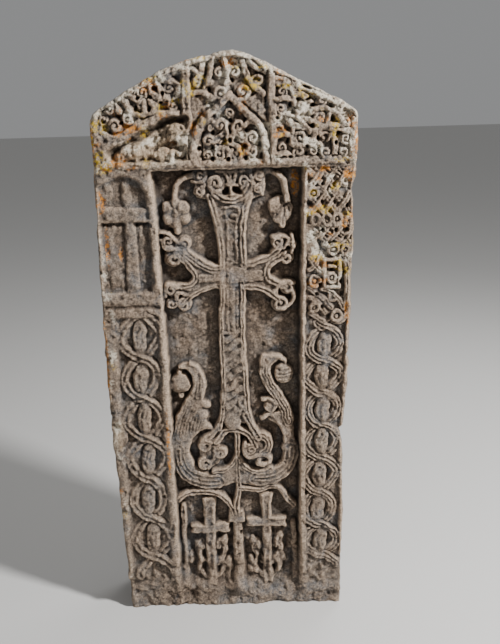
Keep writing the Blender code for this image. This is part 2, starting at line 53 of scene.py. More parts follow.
# The block. One upright slab of volcanic stone, split roughly to a gabled outline and dressed flat on
# the front. The plan is in centimetres, x to the right and z up from the ground, and a level is how far
# the surface stands in front of the dressed face (0) or lies behind it (below 0).
CM = 0.01
FACE_MIDDLE_X = -1.045
FACE_TO_MIDDLE = 10.642
BACK_LEVEL = -23.95
PEAK_Z = 183.7

LEFT_ARRIS = np.array([
    (0, -37.6), (15, -38.1), (33, -38.8), (50, -39.5), (60, -40.1), (77, -40.5), (95, -40.6),
    (113, -40.4), (125, -40.3), (140, -40.1), (147, -40.2), (150, -40.0), (163, -40.2), (165.6, -39.9),
    (167.2, -39.1), (169, -38),
])
RIGHT_ARRIS = np.array([
    (0, 34.3), (13, 34.5), (25, 34.8), (35, 35.2), (60, 35.1), (62.6, 34.5), (64, 34.1), (65.6, 35.4),
    (72, 36), (80, 36.6), (88, 37.1), (89.4, 36.5), (91, 37.2), (98, 37.5), (110, 38), (120, 38.3),
    (130, 38.9), (138, 38.5), (142, 38.3), (143.6, 38.6), (145.6, 39.6), (150, 39.7), (163, 40.1),
    (165, 39.8), (167, 38.9),
])
GABLE = np.array([
    (-40.2, 166.2), (-38.5, 168.2), (-35, 170.4), (-30, 173.2), (-25, 175.8), (-20, 178.3), (-15, 180.2),
    (-10, 181.6), (-7, 182), (-5, 182.1), (-3, 182.8), (0, 183.4), (3, 183.6), (6, 182.9), (10, 181.2),
    (15, 178.9), (20, 176.2), (25, 173.7), (30, 171.3), (35, 169.1), (38, 167.5), (40.1, 165.6),
])


def ease(share):
    """Turns a straight rise from 0 to 1 into a soft one."""
    share = np.clip(share, 0, 1)
    return share * share * (3 - 2 * share)


def roughness(x, y, z, size, seed):
    """Smooth random relief between -1 and 1, with lumps of about a given size."""
    total = np.zeros(np.broadcast(x, y, z).shape)
    cells, parts = [], []
    turned = 0.36 * x + 0.48 * y - 0.8 * z, 0.6 * y - 0.8 * x, 0.48 * x + 0.64 * y + 0.6 * z
    for axis in turned:
        scaled = np.asarray(axis, float) / size + 1000
        cells.append(np.floor(scaled).astype(np.int64))
        part = scaled - cells[-1]
        parts.append(ease(part))
    for corner in range(8):
        weight, number = 1.0, seed * 974634777
        for k, prime in enumerate((374761393, 668265263, 1103515245)):
            far = corner >> k & 1
            weight = weight * (parts[k] if far else 1 - parts[k])
            number = number + (cells[k] + far) * prime
        number = (number ^ (number >> 13)) & 0xFFFFFFFF
        number = (number * 1274126177) & 0xFFFFFFFF
        total += weight * (((number ^ (number >> 16)) & 0xFFFF) / 32767.5 - 1)
    return total


def layered(x, y, z, *layers):
    """Roughness of several sizes laid together, each given as its share, its size and its seed."""
    return sum(share * roughness(x, y, z, size, seed) for share, size, seed in layers)


# The carved face is worked on a fine grid that follows the outline, from the left edge to the right and
# from the ground up to the gable.
COLUMNS = 501
ROWS = 1113
across = np.linspace(0, 1, COLUMNS)
up = np.linspace(0, 1, ROWS)
roof_x = GABLE[0, 0] + across * (GABLE[-1, 0] - GABLE[0, 0])
roof = np.interp(roof_x, *GABLE.T)
roof = roof + 0.22 * roughness(roof_x, 0, 0, 2.6, 1) - 0.12 * np.abs(roughness(roof_x, 0, 0, 0.9, 2)) - 0.15
Z = up[:, None] * roof[None, :]
left = np.interp(Z, *LEFT_ARRIS.T) + 0.18 + layered(0, 0, Z, (0.25, 3.5, 3), (0.1, 1.1, 4))
right = np.interp(Z, *RIGHT_ARRIS.T) - 0.15 + layered(0, 0, Z, (0.22, 3.0, 5), (0.1, 1.0, 6))
X = left + across[None, :] * (right - left)

# The cornice is the slab's head. It stands a little forward of the rest and leans out, which keeps rain
# off the cross. Every edge of the stone is worn round, most of all along the top.
CORNICE_FOOT = 150.2
CORNICE_STEP = 0.8
CORNICE_LEAN = 1.2
rise = np.clip((Z - CORNICE_FOOT) / (PEAK_Z - CORNICE_FOOT), 0, 1)
level = np.clip((Z - CORNICE_FOOT + 0.5) / 0.5, 0, 1) * CORNICE_STEP + CORNICE_LEAN * rise
from_side = np.minimum(X - left, right - X)
from_top = (roof[None, :] - Z) * 0.9

# Carving is set out by eye, so every line wanders a little from where it was meant to be.
SX = X + layered(X, 0, Z, (0.25, 4.2, 7), (0.22, 1.8, 8), (0.13, 0.9, 11))
SZ = Z + layered(X, 0, Z, (0.25, 4.2, 9), (0.22, 1.8, 10), (0.13, 0.9, 12))

# How much of each crest the weather has taken. It takes most in some places and hardly any in others.
TAKEN = 0.65 * np.clip(roughness(X, 0, Z, 3.8, 13), 0, 1)
TAKEN = TAKEN + 0.45 * np.clip(roughness(X, 0, Z, 1.5, 14), 0, 1)

# The cornice's middle. A pointed arch full of linked scrolls, between two posts, with more scrolls and
# two half leaves over it. The strands are left standing and the gaps between them are drilled out.


KNOT_STEP = 0.6


def curve(*knots):
    """A smooth line through a few knots."""
    knots = np.array(knots, float)
    ends = np.vstack([2 * knots[0] - knots[1], knots, 2 * knots[-1] - knots[-2]])
    points = []
    for a, b, c, d in zip(ends, ends[1:], ends[2:], ends[3:]):
        count = max(1, round(float(np.hypot(*(c - b))) / KNOT_STEP))
        for t in np.arange(count) / count:
            bend, twist = 2 * a - 5 * b + 4 * c - d, 3 * b - a - 3 * c + d
            points.append(0.5 * (2 * b + (c - a) * t + bend * t**2 + twist * t**3))
    return np.array([*points, knots[-1]])


def line(*corners):
    """A line of straight runs, or the outline of a flat shape."""
    return np.array(corners, float)


def near(points, reach):
    """The places of the carved points that lie in the box round some points, grown by a reach."""
    points = np.asarray(points, float)
    low, high = points.min(0) - reach, points.max(0) + reach
    return np.nonzero((SX > low[0]) & (SX < high[0]) & (SZ > low[1]) & (SZ < high[1]))


def distance(path, place, closed=False):
    """How far carved points lie from a line, and how far along it their nearest point is, in cm."""
    path = np.asarray(path, float)
    ends = np.roll(path, -1, 0) if closed else path[1:]
    x, z = SX[place], SZ[place]
    nearest, along, run = np.full(x.shape, 1e9), np.zeros(x.shape), 0.0
    for a, b in zip(path, ends):
        step = b - a
        length = max(float(np.hypot(*step)), 1e-9)
        t = np.clip(((x - a[0]) * step[0] + (z - a[1]) * step[1]) / length**2, 0, 1)
        away = np.hypot(x - a[0] - t * step[0], z - a[1] - t * step[1])
        closer = away < nearest
        nearest = np.where(closer, away, nearest)
        along = np.where(closer, run + t * length, along)
        run += length
    return nearest, along / run


def within(outline, place):
    """Which carved points lie inside an outline."""
    x, z = SX[place], SZ[place]
    inside = np.zeros(x.shape, bool)
    outline = np.asarray(outline, float)
    for (ax, az), (bx, bz) in zip(outline, np.roll(outline, -1, 0)):
        rises = bz - az if abs(bz - az) > 1e-9 else 1e-9
        inside ^= ((az > z) != (bz > z)) & (x < ax + (z - az) * (bx - ax) / rises)
    return inside


def sink(outline, bottom, run=0.5):
    """Cuts the ground inside an outline down to a level."""
    place = near(outline, 0)
    away, _ = distance(outline, place, closed=True)
    share = ease(away / run) * within(outline, place)
    level[place] = np.minimum(level[place], level[place] + (bottom - level[place]) * share)


def leave(outline, top, fall=0.6, edge=0.5):
    """Leaves a flat piece standing to a level, with its edges rounded off by a fall."""
    place = near(outline, 0)
    away, _ = distance(outline, place, closed=True)
    share = np.clip(away / edge, 0, 1)
    height = top - fall * (1 - np.sqrt(1 - (1 - share) ** 2)) - 0.6 * TAKEN[place]
    level[place] = np.where(within(outline, place), np.maximum(level[place], height), level[place])


def strand(path, half, crest, ridges=1, depth=0.6, fall=0.7, over=0.0):
    """A strand along a line, worked with one or more ridges. Where it crosses over another, over lifts the
    middle of its length and presses down the stone beside it."""
    place = near(path, half + 0.5)
    away, along = distance(path, place)
    share = away / half
    lift = over * np.sin(math.pi * along)
    dip = 0 if ridges == 1 else depth * np.abs(np.sin(math.pi / 2 * (share * ridges + 1 - ridges % 2))) ** 2
    edge = np.clip(share, 0, 1)
    height = crest + lift - dip - fall * (1 - np.sqrt(1 - edge ** (2 if ridges == 1 else 4))) - TAKEN[place]
    beside = np.clip(1 - (away - half) / 0.5, 0, 1)
    level[place] = np.where(share < 1, np.maximum(level[place], height), level[place] - 1.8 * lift * beside)


def oval(x, z, wide, high, tilt, margin=1.0):
    """The places round a tilted oval, wide and high being its half sizes, and how far out from its middle
    each lies, 1 being the oval's edge."""
    reach = margin * max(wide, high)
    place = near([(x - reach, z - reach), (x + reach, z + reach)], 0)
    c, s = math.cos(math.radians(tilt)), math.sin(math.radians(tilt))
    dx, dz = SX[place] - x, SZ[place] - z
    return place, np.hypot((c * dx + s * dz) / wide, (c * dz - s * dx) / high)


def boss(x, z, wide, high, top, fall=1.0, tilt=0):
    """A rounded oval lump."""
    place, share = oval(x, z, wide, high, tilt)
    height = top - fall * (1 - np.sqrt(1 - np.clip(share, 0, 1) ** 2)) - TAKEN[place]
    level[place] = np.where(share < 1, np.maximum(level[place], height), level[place])


def drill(x, z, wide, high, bottom, tilt=0):
    """An oval hollow with soft sides."""
    place, away = oval(x, z, wide, high, tilt, margin=1.3)
    share = ease((1.3 - away) / 0.7)
    level[place] = np.minimum(level[place], level[place] + (bottom - level[place]) * share)


def groove(path, half, depth):
    """A cut with a round bottom, a given depth below the stone it runs over."""
    place = near(path, half)
    away, _ = distance(path, place)
    level[place] -= depth * np.clip(1 - (away / half) ** 2, 0, 1)


def scroll(x, z, radius, start, hand, crest, turns=1.15):
    """A strand that winds in to a small eye from an angle in degrees. hand 1 winds anticlockwise."""
    boss(x, z, radius * 0.98, radius * 0.98, crest - 0.55 - 0.15 * radius, 0.8)
    share = np.linspace(0, 1, max(10, round(turns * radius * 8)))
    turn = math.radians(start) + hand * share * turns * 2 * math.pi
    reach = radius * (0.8 - 0.62 * share)
    path = np.column_stack([x + reach * np.cos(turn), z + reach * np.sin(turn)])
    strand(path, radius * 0.2, crest, fall=0.5)


TOP = CORNICE_STEP + 0.35
GROUND = -0.75
DRILLED = -2.9
sink(line(
    (-9.6, 151.6), (12.8, 151.6), (12.8, 177), (9.4, 180.6), (3, 182), (-3, 181.2), (-9.8, 179.6),
), GROUND)
strand(line((-11.1, 165), (-11, 178.6)), 1.1, TOP + 0.1)
strand(line((14.3, 151), (14.1, 165), (13.9, 178.2)), 0.95, TOP + 0.3)
groove(line((-12.7, 166), (-12.6, 177)), 0.7, 1.3)
groove(line((12.9, 152), (12.8, 166), (12.8, 177)), 0.75, 1.7)
for x, z, radius, start, hand in (
    (-1.2, 162, 2.6, 300, 1), (4.3, 161.6, 2.6, 240, -1), (-5, 157.6, 2.1, 10, 1),
    (8.2, 158.3, 2.3, 200, -1), (8.4, 154, 2.1, 120, 1), (-2, 153.4, 2.4, 40, -1),
    (3.8, 153.4, 2.4, 140, 1), (-5.6, 153.4, 1.8, 0, 1), (1.8, 165.7, 1.7, 250, -1),
    (-1.8, 157.8, 1.6, 90, -1), (5.2, 157.6, 1.4, 90, 1), (-4.2, 161.4, 1.3, 0, -1),
    (-0.6, 171.6, 2.8, 300, -1), (5.8, 171.4, 3, 240, 1), (-7.4, 174.3, 2.7, 320, 1),
    (10.1, 174.3, 2.6, 220, -1), (-1, 177.2, 2, 0, 1), (3.6, 177.2, 2, 180, -1),
    (-3.9, 174.6, 1.4, 90, 1), (1.3, 174.4, 1.4, 200, 1),
):
    scroll(x, z, radius, start, hand, TOP)
for knots in (
    ((0.6, 160.2), (1.8, 157.5), (4, 155.2)), ((3.2, 160), (1.8, 157.5), (-0.2, 155.2)),
    ((-3.4, 157.4), (-1.4, 158.8), (0.6, 160.2)), ((6.2, 157.2), (4.6, 158.8), (3.2, 160)),
    ((-6.6, 161.2), (-4.4, 163.4), (-2.8, 162.4)), ((10, 161.6), (8, 163), (6.4, 162)),
    ((-3.2, 180.6), (-3.6, 177), (-4.8, 174.2)), ((-5.4, 180.4), (-6, 178), (-6.4, 176.4)),
    ((5.8, 180.2), (7.2, 176), (9, 172.8), (12, 170.6)), ((7.6, 180.2), (9.6, 178.6), (12.4, 177)),
    ((0.6, 181.4), (1.3, 178), (1.1, 174.6)), ((-9.2, 171.4), (-6.4, 171.8), (-3.6, 170.4), (-2.4, 168.6)),
    ((-8.9, 179), (-7.8, 178), (-7, 176.6)), ((-2.8, 155.6), (0.8, 154.8), (1.2, 151.6)),
    ((-7.6, 160.4), (-8, 157), (-8.1, 152)), ((6.4, 151.6), (6.2, 154), (6.8, 156.2)),
):
    strand(curve(*knots), 0.85, TOP, fall=0.5, over=0.15)
for x, z in (
    (1.8, 157.6), (-3.6, 159.8), (6.9, 160.4), (1, 151.7), (-7.9, 155.4), (6.1, 155.6), (2.6, 174.9),
    (-3.7, 155.6), (1.6, 163.4), (-3.9, 152), (6.1, 152), (10.6, 156.2), (-4, 172.4), (2.6, 168.9),
):
    drill(x, z, 0.6, 0.75, DRILLED)
leave(line(
    (-9.4, 170.6), (-9.6, 162.2), (-7.4, 163.6), (-2.4, 167.8), (-3.6, 169.6), (-6, 170.8),
), TOP - 0.9)
leave(line((12.3, 171.2), (12.7, 162.4), (9.6, 165.4), (5.8, 168.6), (8.2, 169.8), (10, 171)), TOP - 0.7)
for i in range(3):
    groove(curve(
        (-8.4 + 1.6 * i, 170.2), (-7.8 + 1.3 * i, 167.8), (-7.6 + 1.1 * i, 164.4 + 0.9 * i),
    ), 0.3, 0.22)
    groove(curve((8.6 + 1.3 * i, 170.4), (8.9 + 1.2 * i, 168), (9.2 + 1.1 * i, 166.6 - 0.9 * i)), 0.3, 0.22)
groove(curve((-10.8, 153), (-10.9, 158), (-9.4, 162), (-6.6, 166), (-2.6, 168.8)), 0.9, 0.9)
groove(curve((-7.4, 153), (-7.2, 158), (-5.6, 161.6), (-3, 164.4)), 0.7, 0.8)
strand(curve(
    (-8.8, 150.8), (-9.6, 154), (-9, 158), (-7.6, 161.8), (-5.2, 164.9), (-1.6, 167.4), (1.8, 170.6),
), 1.1, TOP + 0.75, fall=1.2)
strand(curve(
    (12.3, 150.8), (12.2, 156), (11.2, 160), (8.8, 163.4), (5.6, 166.6), (3, 169.8),
), 1.1, TOP + 0.6, fall=1.1)

# The cornice's right half: openwork of linked knots, the best kept of the carving.
sink(line((15.2, 151.8), (38.9, 151.8), (39.2, 163.8), (37.4, 166.6), (26, 172.3), (15.2, 177.2)), GROUND)
for x, z, radius in (
    (23.2, 166.7, 2.2), (22.6, 158, 2.5), (22, 153.5, 2.1), (16.6, 160.4, 1.9), (16.9, 166.4, 1.9),
    (30.2, 153.2, 2.3), (35, 153.2, 2.1), (36.1, 157.2, 1.9), (36.2, 161.6, 2.3), (28.6, 163.4, 2.2),
    (29.8, 158, 2), (17.6, 171.4, 2), (22.2, 171, 1.7), (29.2, 168.2, 1.8), (34.2, 166, 1.8),
    (17, 155.2, 1.8), (32.8, 160.4, 1.6), (26.2, 165.4, 1.5), (26, 153.4, 1.6), (19.6, 162.6, 1.5),
):
    scroll(x, z, radius, 40 + 57 * x, 1 if int(x) % 2 else -1, TOP)
for knots in (
    ((14.8, 163.2), (17.6, 164.4), (21.2, 164.6), (24.6, 167.4)),
    ((18.6, 163.6), (20.4, 161.6), (24.8, 160.4)), ((21.2, 163.8), (23.6, 161.8), (25.6, 159.4)),
    ((27, 166.2), (31.8, 165.6), (34, 163.6), (35.6, 161.4)),
    ((31.6, 165.2), (30.8, 162.6), (31.4, 160.2)), ((20.8, 170.6), (24, 169.8), (26.2, 167.6)),
    ((16, 173.6), (19.6, 172.6), (21, 170), (20.8, 167.4)), ((15, 152.6), (18, 153.6), (20, 151.9)),
    ((20.6, 161.4), (19.8, 158.8), (20.4, 156), (24.6, 155.6), (27.2, 155)),
    ((25.6, 163), (27, 160.4), (26.8, 157), (28.4, 155.2)),
    ((15.4, 158.6), (18.6, 158.8), (20.2, 157.2)), ((15.4, 168.9), (18, 169.4), (20.6, 168.9)),
    ((32.4, 157.6), (33, 155.2), (32.6, 152.6)), ((31.6, 158.4), (34, 159.4), (38.2, 159.2)),
    ((38, 151.6), (38.1, 157), (38.6, 163)),
    ((16, 175.4), (20, 173.8), (24.6, 171.8), (28.6, 169.9), (33, 168), (37.6, 165.8)),
    ((28, 160.6), (31, 161.4), (34, 161.4)), ((23.8, 156.6), (27.4, 157.4), (29, 160.4)),
    ((24.4, 163.2), (26.8, 162.2), (30.4, 160.4)),
):
    strand(curve(*knots), 0.85, TOP + 0.05, fall=0.5, over=0.2)
for x, z, wide, high, tilt in (
    (19.8, 167.4, 0.6, 1, 0), (25.2, 169, 0.8, 0.4, 30), (19.4, 160.4, 0.5, 0.8, 10),
    (26.3, 161.2, 0.7, 0.7, 0), (18.9, 157, 0.5, 0.7, 0), (24.6, 155, 0.6, 0.5, -30),
    (26.6, 167.2, 0.9, 0.6, 0), (32.6, 163.2, 0.6, 0.9, 0), (27.8, 157.4, 0.5, 0.9, 0),
    (24.2, 152.6, 0.4, 0.7, 0), (20.6, 164.8, 0.8, 0.4, 0), (34.2, 158.8, 0.8, 0.5, 0),
    (32.6, 151.9, 0.9, 0.4, 0), (22.4, 169, 0.8, 0.4, 0), (24.6, 172.2, 1.4, 0.4, -20),
    (27.9, 152.4, 0.4, 0.6, 0), (31.6, 166.6, 0.9, 0.4, -20), (19.6, 152.2, 0.6, 0.4, 0),
    (33.1, 155.9, 0.4, 0.6, 0), (15.6, 163.8, 0.5, 0.4, 0),
):
    drill(x, z, wide, high, DRILLED, tilt)
strand(curve((14.6, 151.3), (18, 151.6), (21, 151), (28, 150.9), (33, 151.4), (38.8, 151.2)), 0.6, TOP)

# The cornice's left half: what is left of the same knots, and below them the scar where a broad flake
# has split off, with a sharp undercut edge above it.
sink(line(
    (-37.6, 160), (-33, 158.6), (-26.4, 162.6), (-20, 165.6), (-12.6, 166.6), (-12.6, 178.2),
    (-17, 176.9), (-24, 174.1), (-31, 170.8), (-37.6, 166.8),
), GROUND)
for x, z, radius in (
    (-28.5, 164.8, 2.2), (-32.2, 162.4, 2.5), (-23.2, 172, 2.1), (-15, 168, 1.8), (-36, 164.6, 1.9),
    (-33.4, 167.2, 1.9), (-20.4, 168.4, 1.7), (-29.2, 169.2, 1.8), (-15.6, 173, 2.2), (-24.4, 168.6, 1.7),
    (-26.6, 172.4, 1.5),
):
    scroll(x, z, radius, 30 + 41 * x, 1 if int(x) % 2 else -1, TOP - 0.1)
for knots in (
    ((-26, 174.8), (-20, 175.4), (-14, 174.8), (-13, 171.6), (-15.6, 170.2), (-19, 171.2)),
    ((-28.4, 171.6), (-25.6, 170.2), (-23.2, 169), (-23.6, 165.6)),
    ((-19.6, 174.8), (-18.2, 172.4), (-17.6, 170)),
    ((-21.4, 169.8), (-20.2, 166.4), (-16.6, 166), (-14, 166.4)),
    ((-28, 167), (-25, 165.6), (-21.4, 166.2)), ((-21.2, 174.2), (-20.6, 171.6), (-18.4, 169.4)),
    ((-30.6, 171), (-28.4, 168.2), (-26.2, 166.2)),
    ((-37.4, 163), (-35.8, 160.4), (-32, 159.2), (-28, 161), (-25.2, 163.8)),
    ((-36.6, 168), (-33, 169), (-30.6, 166.8)),
    ((-34, 168.9), (-28.6, 171.9), (-23, 174.5), (-18, 176.4), (-13, 177.6)),
):
    strand(curve(*knots), 0.9, TOP, fall=0.55, over=0.2)
for x, z, wide, high in (
    (-20, 173, 0.8, 0.7), (-17.9, 171.4, 0.5, 0.8), (-26, 167.6, 0.6, 0.8), (-21.9, 167.2, 0.5, 0.8),
    (-25.2, 170.4, 0.6, 0.5), (-30.5, 163.4, 0.5, 0.5), (-18.4, 168.9, 0.6, 0.4),
    (-31.2, 165.4, 0.5, 0.6), (-21.4, 170.6, 0.5, 0.5),
):
    drill(x, z, wide, high, DRILLED)
SCAR = line(
    (-35.6, 155.2), (-31.6, 157.2), (-28, 158.6), (-25.2, 160.4), (-21.4, 162.4), (-18.2, 164.2),
    (-12.6, 165), (-11, 163.8), (-11.2, 158), (-10.9, 152), (-16, 150.8), (-25, 151.2),
    (-31, 150.8), (-35.2, 152.4),
)
sink(SCAR, -2, run=1.4)
strand(curve((-35.2, 156.4), (-31.4, 158.6), (-26, 161.6), (-22, 163.8), (-17.4, 165.4)), 1.1, 1.1, fall=1)
UNDERCUT = curve(
    (-34.4, 154.8), (-31, 156.3), (-28, 158), (-24, 160.1), (-20.6, 162), (-17, 163.6), (-11.8, 164.2),
)
groove(UNDERCUT, 1.4, 3.2)
boss(-13.8, 159.8, 3.7, 3.5, 1.3, 2.4)
groove(curve((-15.8, 158), (-16.4, 160.6), (-14, 162.2), (-11.8, 160.6)), 0.5, 0.5)
boss(-18.6, 153.8, 3, 2.2, 0.1, 1.2)
boss(-27.5, 154.6, 6.6, 2.8, 0.1, 1.6, 20)
drill(-15.8, 157.2, 1.5, 0.9, -2.2, 20)
drill(-20.4, 158.6, 1.6, 2.2, -2.6, -35)
for knots in (
    ((-16, 151.6), (-15.4, 154.9), (-13.2, 153.2)), ((-13.2, 153.2), (-11.6, 155.4), (-10.8, 151.8)),
):
    strand(curve(*knots), 0.75, -0.1, fall=0.7)
strand(curve(
    (-37, 150.8), (-26, 151), (-16, 150.9), (-7, 151.2), (-2, 150.6), (6, 150.9), (12, 150.7),
), 0.6, TOP)

# The left band. An arched niche with a plain cross, on a ledge of two mouldings, and below it a chain
# of grooved ribbons that swing out round one oval boss after another.
NICHE = line(
    (-39.6, 111), (-23.8, 111), (-23, 124), (-23.8, 137), (-24, 141), (-24.8, 144.2),
    (-26.4, 146.6), (-29, 147.9), (-32.6, 148.2), (-36.2, 147), (-39.4, 145),
)
sink(NICHE, -2.1, run=1.4)
strand(curve(
    (-35.6, 148.6), (-32, 149), (-27.6, 148.2), (-24.6, 146), (-23.2, 141), (-22.9, 134), (-22.4, 128),
    (-22.7, 121), (-21.9, 114), (-21.7, 106),
), 0.8, 0.1, fall=0.8)
leave(line(
    (-32.2, 111), (-27.9, 111), (-28.3, 133), (-28.8, 139), (-31.5, 139), (-31.8, 134),
), -0.8, fall=1, edge=1.2)
boss(-30.5, 141.5, 1.7, 5.4, -1.1, 0.8)
leave(line(
    (-39.8, 133.6), (-23.4, 133.2), (-23.4, 137.4), (-28.4, 138.2), (-32.6, 138.6), (-39.8, 138.8),
), -0.4, fall=0.9, edge=1.2)
for x, z, wide, high, top, tilt in (
    (-37.2, 143.2, 2.6, 3.4, -0.9, 10), (-36.4, 128, 1.6, 4.6, -1.4, 4), (-25.9, 126, 1.2, 5.4, -1.5, -3),
    (-35, 116.4, 2.6, 3.2, -1.3, 0), (-25.6, 142, 1, 2.4, -1.5, 10), (-36.6, 120.6, 1.8, 2.2, -1.5, 30),
):
    boss(x, z, wide, high, top, 0.8, tilt)
groove(line((-39.2, 132.8), (-32, 132.9)), 0.9, 1)
groove(line((-28.4, 132.8), (-23.8, 132.6)), 0.8, 0.9)
for x in (-38, -35.4, -33.6, -26.8, -25):
    strand(curve((x, 112), (x + 0.5, 119), (x - 0.2, 126), (x + 0.3, 132)), 0.7, -1.75, fall=0.5)
strand(curve((-39.4, 108.9), (-34, 109), (-28, 108.4), (-22.4, 108.8)), 1.3, 0.25, fall=0.7)
strand(curve((-39.2, 105.6), (-32, 105.5), (-22.6, 105.2)), 0.8, 0, fall=0.5)
groove(line((-38.8, 107.1), (-22.6, 106.9)), 0.75, 0.8)
strand(curve((-21.8, 106), (-21.9, 80), (-21.6, 50), (-21.4, 14)), 0.6, 0.05, fall=0.7)

LEFT_EYES = ((-28.8, 27), (-29.6, 41.2), (-28.7, 55.4), (-29.3, 70), (-29.6, 83.2), (-29.2, 97.4))


def chain(eyes, swing, top, bottom, ridges, half):
    """Two ribbons that swing out round each oval boss, from the lowest up, and cross between them. The
    one that goes over changes from crossing to crossing."""
    eyes = line(*eyes)
    centre = np.array([2 * eyes[0] - eyes[1], *eyes, 2 * eyes[-1] - eyes[-2]])
    turns = np.linspace(0, len(centre) - 1, len(centre) * 22)
    knots = np.arange(len(centre))
    middle = np.column_stack([np.interp(turns, knots, axis) for axis in centre.T])
    sway = np.cos(math.pi * turns)
    sway = np.sign(sway) * np.abs(sway) ** 0.75 * swing * (1 + 0.12 * np.sin(2.3 * turns))
    kept = (middle[:, 1] > bottom) & (middle[:, 1] < top)
    ribbons = [middle + np.column_stack([hand * sway, 0.6 * hand * sway / swing]) for hand in (1, -1)]
    for path in ribbons:
        strand(path[kept], half, -0.3, ridges, depth=0.75, fall=0.8)
    for k in range(len(centre) - 1):
        part = (turns > k + 0.08) & (turns < k + 0.92) & kept
        if part.sum() > 3:
            strand(ribbons[k % 2][part], half, -0.4, ridges, depth=0.75, fall=0.8, over=0.6)
    for (x, z), below in zip(eyes, centre[:-2]):
        pitch = z - below[1]
        drill(x, z, 3, pitch * 0.36, -2.6)
        boss(x - 0.2, z - 0.08 * pitch, 2.3, pitch * 0.33, 0.1, 1.5, 4)
        boss(x + 0.2, z + 0.1 * pitch, 2.2, pitch * 0.3, 0.1, 1.4, -6)
        groove(curve((x - 0.7, z - 0.2 * pitch), (x - 1.1, z), (x + 0.2, z + 0.2 * pitch)), 0.5, 0.3)
        groove(curve((x + 0.9, z - 0.16 * pitch), (x + 0.5, z), (x + 1.2, z + 0.12 * pitch)), 0.45, 0.3)


sink(line((-36.8, -4), (-22.2, -4), (-22.4, 104.2), (-37.2, 104.2)), -1.7, run=1.8)
chain(LEFT_EYES, 5.7, 104.4, 12, 2, 1.75)
for x, z, wide, high, tilt in (
    (-38.2, 66, 2.6, 5.6, 25), (-38.4, 92, 2.4, 4.4, 10), (-37.6, 83, 2, 3.4, -10),
    (-37.8, 48, 2, 4, 0), (-37, 101, 1.6, 3, 20), (-37.4, 57, 1.6, 2.6, -20),
):
    boss(x, z, wide, high, -0.1, 0.8, tilt)

# The right band. Its upper third is a lattice: ribbons with two ridges lie across it both ways and
# pass under and over each other, with rings and a square where they part. Below it is a chain like the
# left one, of ribbons with three ridges.
sink(line(
    (23.2, 99), (37.2, 99), (37.8, 120), (38.2, 131), (37.7, 142), (38.7, 149), (24.2, 149),
), -1.5, run=0.6)
for over, paths in (
    (0, (
        ((24.6, 148.2), (27, 145.8), (29.4, 143)), ((27.4, 148.6), (30.2, 146.2), (32.4, 143.2)),
        ((31, 148.6), (33.6, 146.4), (36, 143.4)), ((34.4, 148.4), (37.2, 146.4), (38.2, 144.6)),
        ((24.6, 140.6), (26.6, 138.4), (29.6, 135)), ((28, 142.4), (30.6, 139.6), (33.6, 135.2)),
        ((31.6, 142), (34.4, 139), (37.4, 134.8)), ((24.8, 131), (27.6, 128.6), (30.6, 126)),
        ((28.4, 131), (31.6, 128), (35, 125.6)), ((32, 131), (34.6, 128.4), (37.2, 125.4)),
        ((24.8, 121.4), (26.4, 118.8), (28.8, 116.6)), ((34.8, 121.4), (36, 119.6), (37.2, 117)),
        ((24.6, 111.6), (26.8, 109.8), (29.6, 107.4), (31.4, 105)),
        ((24.6, 108.4), (27.4, 106.8), (29.6, 103.6)),
    )),
    (0.35, (
        ((29.4, 148.4), (27.4, 145.6), (25, 142.8)), ((33.6, 148.4), (31, 145.2), (28.8, 141.6)),
        ((37.6, 148.2), (35.2, 145.2), (33, 142)), ((30, 141), (27.6, 137.6), (25.2, 135)),
        ((34, 141), (31.4, 137.4), (29.6, 135)), ((37.4, 140.6), (35.2, 137.2), (33.4, 134.8)),
        ((31, 131), (28.4, 128), (25.6, 125.6)), ((35, 130.8), (32, 127.6), (29.4, 125.2)),
        ((37.6, 129.4), (35.8, 127.2), (33.6, 125.4)), ((28.6, 121.6), (27.2, 119.4), (25, 117.2)),
        ((29, 111), (31.6, 110), (34, 107.4), (35.4, 104.6)),
        ((36.6, 121), (36.4, 117), (36.6, 112), (36.2, 105)),
    )),
):
    for knots in paths:
        strand(curve(*knots), 0.95, 0, ridges=2, depth=0.55, fall=0.6, over=over)
ROUND = np.array([(math.cos(turn), math.sin(turn)) for turn in np.linspace(0, 2 * math.pi, 17)])
for x, z, wide, high in (
    (26.2, 141.2, 1.5, 1.5), (36.9, 146.8, 1.2, 1.3), (27, 132.9, 1.3, 1.7), (30.4, 132.9, 1.2, 1.7),
    (33.6, 132.9, 1.3, 1.7), (36.8, 131.8, 1, 1.8), (32.3, 123.6, 1.5, 1.6), (36, 123.4, 1.1, 1.5),
    (26.6, 113.6, 1.5, 1.7), (31.8, 114.6, 1.2, 1.5), (26.2, 105.4, 1.4, 1.4), (33.2, 102.4, 1.5, 1.5),
    (31.9, 108.4, 1.1, 1.1),
):
    strand(line((x, z)) + ROUND * (wide, high), 0.55, 0.15, fall=0.4)
    boss(x, z, 0.42 * wide, 0.46 * high, -0.1, 0.6)
strand(line((29.5, 111.6), (34.1, 111.8), (34.3, 120.5), (29.5, 120.3), (29.5, 111.6)), 0.6, 0.15, fall=0.4)
strand(line((30.6, 118.2), (33, 118.2)), 0.5, 0, fall=0.4)
for x, z in (
    (29.1, 144), (32.6, 143.6), (36, 144.2), (28.9, 138.2), (25.4, 138), (33, 138.2), (36.4, 137),
    (29.2, 129.8), (33.2, 129.6), (36.4, 129.8), (27.8, 126.4), (31.2, 125.8), (28.4, 119.4),
    (31.8, 117.2), (35.5, 116.2), (27.2, 109.4), (35, 109.6), (28.8, 105.6), (30.6, 102.6), (25.2, 102),
    (34.7, 113.4), (28.4, 112.4),
):
    drill(x, z, 0.55, 0.7, -2.3)
strand(curve((25, 103.6), (28.6, 101), (31, 98.6)), 0.9, -0.15, ridges=2, depth=0.3)
strand(curve((36.4, 103), (34.4, 100.4), (31.8, 98.6)), 0.9, -0.2, ridges=2, depth=0.3)
